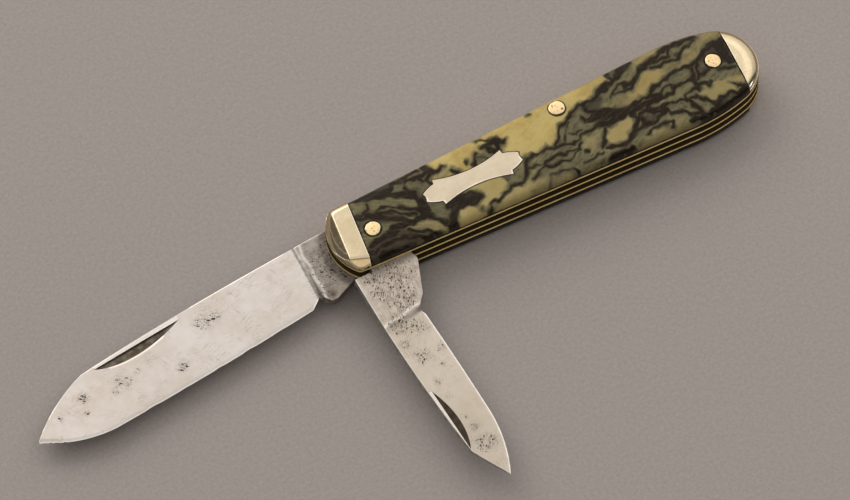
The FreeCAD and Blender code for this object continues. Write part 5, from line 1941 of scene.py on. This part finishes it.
@dataclass
class Studio:
    """Floor, lamps, world and camera."""

    azimuth: float = math.radians(-28.0)
    elevation: float = math.radians(60.0)
    distance: float = 3.6
    frame_width: float = 152.66
    anchor: Triple = (-35.25, -1.0, 9.65)
    right_shift: float = 9.38
    up_shift: float = -3.88
    sensor: float = 36.0
    reach: float = 20.0
    floor_size: float = 3.0
    floor_points: int = 9
    floor_gap: float = 0.02
    lamp_distance: float = 0.9
    lamp_centre: Triple = (-0.03, -0.015, 0.0)
    boxes: tuple[SoftBox, ...] = (
        SoftBox("key_box", (-0.15, 0.72, 0.68), (0.7, 0.55), 2.25, paint(255, 250, 246)),
        SoftBox("side_box", (0.75, 0.35, 0.55), (1.1, 0.9), 2.0, paint(255, 250, 246)),
        SoftBox("low_card", (-0.3, -0.94, 0.16), (0.7, 0.3), 0.6, paint(255, 238, 212)),
        SoftBox("window", (0.86, -0.47, 0.18), (0.14, 0.1), 0.32, paint(222, 232, 255)),
    )
    sky: Colour = paint(250, 248, 246)
    overhead: float = 0.9
    overhead_edge: Point = (0.48, 0.76)
    backdrop_way: Triple = (0.35, 0.94, 0.0)
    backdrop_edge: Point = (0.33, 0.58)
    backdrop_glow: Point = (0.1, 0.85)
    beside_edge: Point = (0.45, 0.7)
    beside_share: float = 0.35

    def axes(self) -> tuple[Array, Array, Array]:
        """Gives the camera's right, up and backward directions.

        Returns:
            Three unit vectors.
        """
        a, e = self.azimuth, self.elevation
        right = np.array([math.cos(a), math.sin(a), 0.0])
        back = np.array([math.sin(a) * math.cos(e), -math.cos(a) * math.cos(e), math.sin(e)])
        return right, np.cross(back, right), back

    def camera(self) -> None:
        """Places a long-lens camera at the photograph's angle."""
        right, up, back = self.axes()
        target = (np.array(self.anchor) + self.right_shift * right + self.up_shift * up) * MM
        data = bpy.data.cameras.new("camera")
        data.sensor_width = self.sensor
        data.lens = data.sensor_width * self.distance / (self.frame_width * MM)
        data.clip_end = self.reach
        made = show(bpy.data.objects.new("camera", data))
        made.location = Vector(target + back * self.distance)
        made.rotation_euler = Vector(-back).to_track_quat("-Z", "Y").to_euler()
        bpy.context.scene.camera = made

    def floor(self, finish: PalePaper) -> None:
        """Lays a level sheet of paper under the knife: an even grid, a hair below it.

        Args:
            finish: The paper.
        """
        half = self.floor_size / 2
        grid = np.linspace(-half, half, self.floor_points)
        x, y = np.meshgrid(grid, grid, indexing="ij")
        points = np.stack([x, y, np.full_like(x, -self.floor_gap * MM)], axis=-1)
        index = np.arange(points.shape[0] * points.shape[1]).reshape(points.shape[:2])
        quads = np.stack([index[:-1, :-1], index[1:, :-1], index[1:, 1:], index[:-1, 1:]], axis=-1)
        mesh = bpy.data.meshes.new("floor")
        mesh.from_pydata(points.reshape(-1, 3).tolist(), [], quads.reshape(-1, 4).tolist())
        mesh.materials.append(finish.material())
        show(bpy.data.objects.new("floor", mesh))

    def lamp(self, box: SoftBox) -> None:
        """Hangs a soft box, facing the knife.

        Args:
            box: The soft box.
        """
        data = bpy.data.lights.new(box.name, "AREA")
        data.shape = "RECTANGLE"
        data.size, data.size_y = box.size
        data.energy = box.watts
        data.color = box.tone[:3]
        made = show(bpy.data.objects.new(box.name, data))
        way = Vector(box.towards).normalized()
        made.location = way * self.lamp_distance + Vector(self.lamp_centre)
        made.rotation_euler = way.to_track_quat("Z", "Y").to_euler()

    def world(self) -> None:
        """Gives a soft dome, bright overhead and on a backdrop behind the knife, and dim elsewhere."""
        made = bpy.data.worlds.new("dome")
        made.use_nodes = True
        tree = made.node_tree
        tree.nodes.clear()
        wires = Wires(tree)
        way = wires.node("ShaderNodeTexCoord").outputs["Generated"]
        parts = wires.node("ShaderNodeSeparateXYZ", {0: way}).outputs
        beside, height = parts[0], parts[2]
        inputs = {0: way, 1: self.backdrop_way}
        behind = wires.node("ShaderNodeVectorMath", inputs, operation="DOT_PRODUCT").outputs["Value"]
        backdrop = wires.span(behind, *self.backdrop_edge, *self.backdrop_glow)
        backdrop = wires.times(backdrop, wires.span(beside, *self.beside_edge, 1.0, self.beside_share))
        strength = wires.span(height, *self.overhead_edge, backdrop, self.overhead)
        sky = wires.node("ShaderNodeBackground", {"Color": self.sky, "Strength": strength})
        wires.node("ShaderNodeOutputWorld", {"Surface": sky.outputs[0]})
        bpy.context.scene.world = made

    def build(self) -> None:
        """Sets up the whole studio."""
        scene = bpy.context.scene
        scene.view_settings.view_transform = "Standard"
        self.camera()
        self.floor(PalePaper())
        self.world()
        for box in self.boxes:
            self.lamp(box)


def main() -> None:
    """Builds the knife piece by piece, then the studio."""
    logging.basicConfig(level=logging.INFO, format="%(name)s: %(message)s")
    nickel = PlatedMetal(
        "worn_nickel_silver", paint(220, 204, 171), paint(190, 170, 132), paint(250, 242, 220),
        polish=0.11, brushing=0.06, dirt_and_shade=paint(40, 27, 6),
    )
    satin = PlatedMetal(
        "satin_shield", paint(203, 190, 167), paint(183, 168, 144), paint(252, 246, 232),
        turn=0.4, polish=0.34, brushing=0.16,
    )
    brass_pin = PlatedMetal(
        "peened_brass", paint(232, 206, 158), paint(206, 172, 116), paint(252, 238, 206),
        polish=0.3, pits=0.5,
    )
    # The liners' flat faces are painted near black: painted shade in the slots, with dirt.
    brass_liner = PlatedMetal(
        "worn_liner_brass", paint(255, 230, 158), paint(228, 186, 110), paint(250, 228, 170),
        polish=0.4, flat_face_dirt_and_shade=1.0, caking_and_shade=0.97, dirt_and_shade=paint(26, 12, 4), sheen=0.15,
    )
    spring = PlatedMetal(
        "dark_spring_steel", paint(150, 143, 134), paint(92, 84, 76), paint(200, 194, 186), polish=0.36
    )
    covers = ScaleCovers()
    bolsters = Bolsters()
    shield = ShieldPlate()
    for side in Side:
        covers.build(side, MarbledCelluloid(f"{side.value}_celluloid"), shield.outline())
        bolsters.build(side, nickel)
    shield.build(satin)
    RivetPins().build(brass_pin)
    main_blade().build(BladeSteel("main_blade_steel", math.radians(6.0)))
    pen_steel = BladeSteel(
        "pen_blade_steel", math.radians(92.0), satin=paint(187, 176, 162), warm=paint(170, 158, 140),
        tang=paint(188, 178, 166), tang_dark=paint(142, 132, 121), pit=paint(60, 53, 46), grain=2.2,
        nick=paint(60, 52, 44), nick_worn=paint(72, 63, 53),
    )
    pen_blade().build(pen_steel)
    InnerParts().dress(brass_liner, spring)
    Studio().build()


if __name__ == "__main__":
    main()
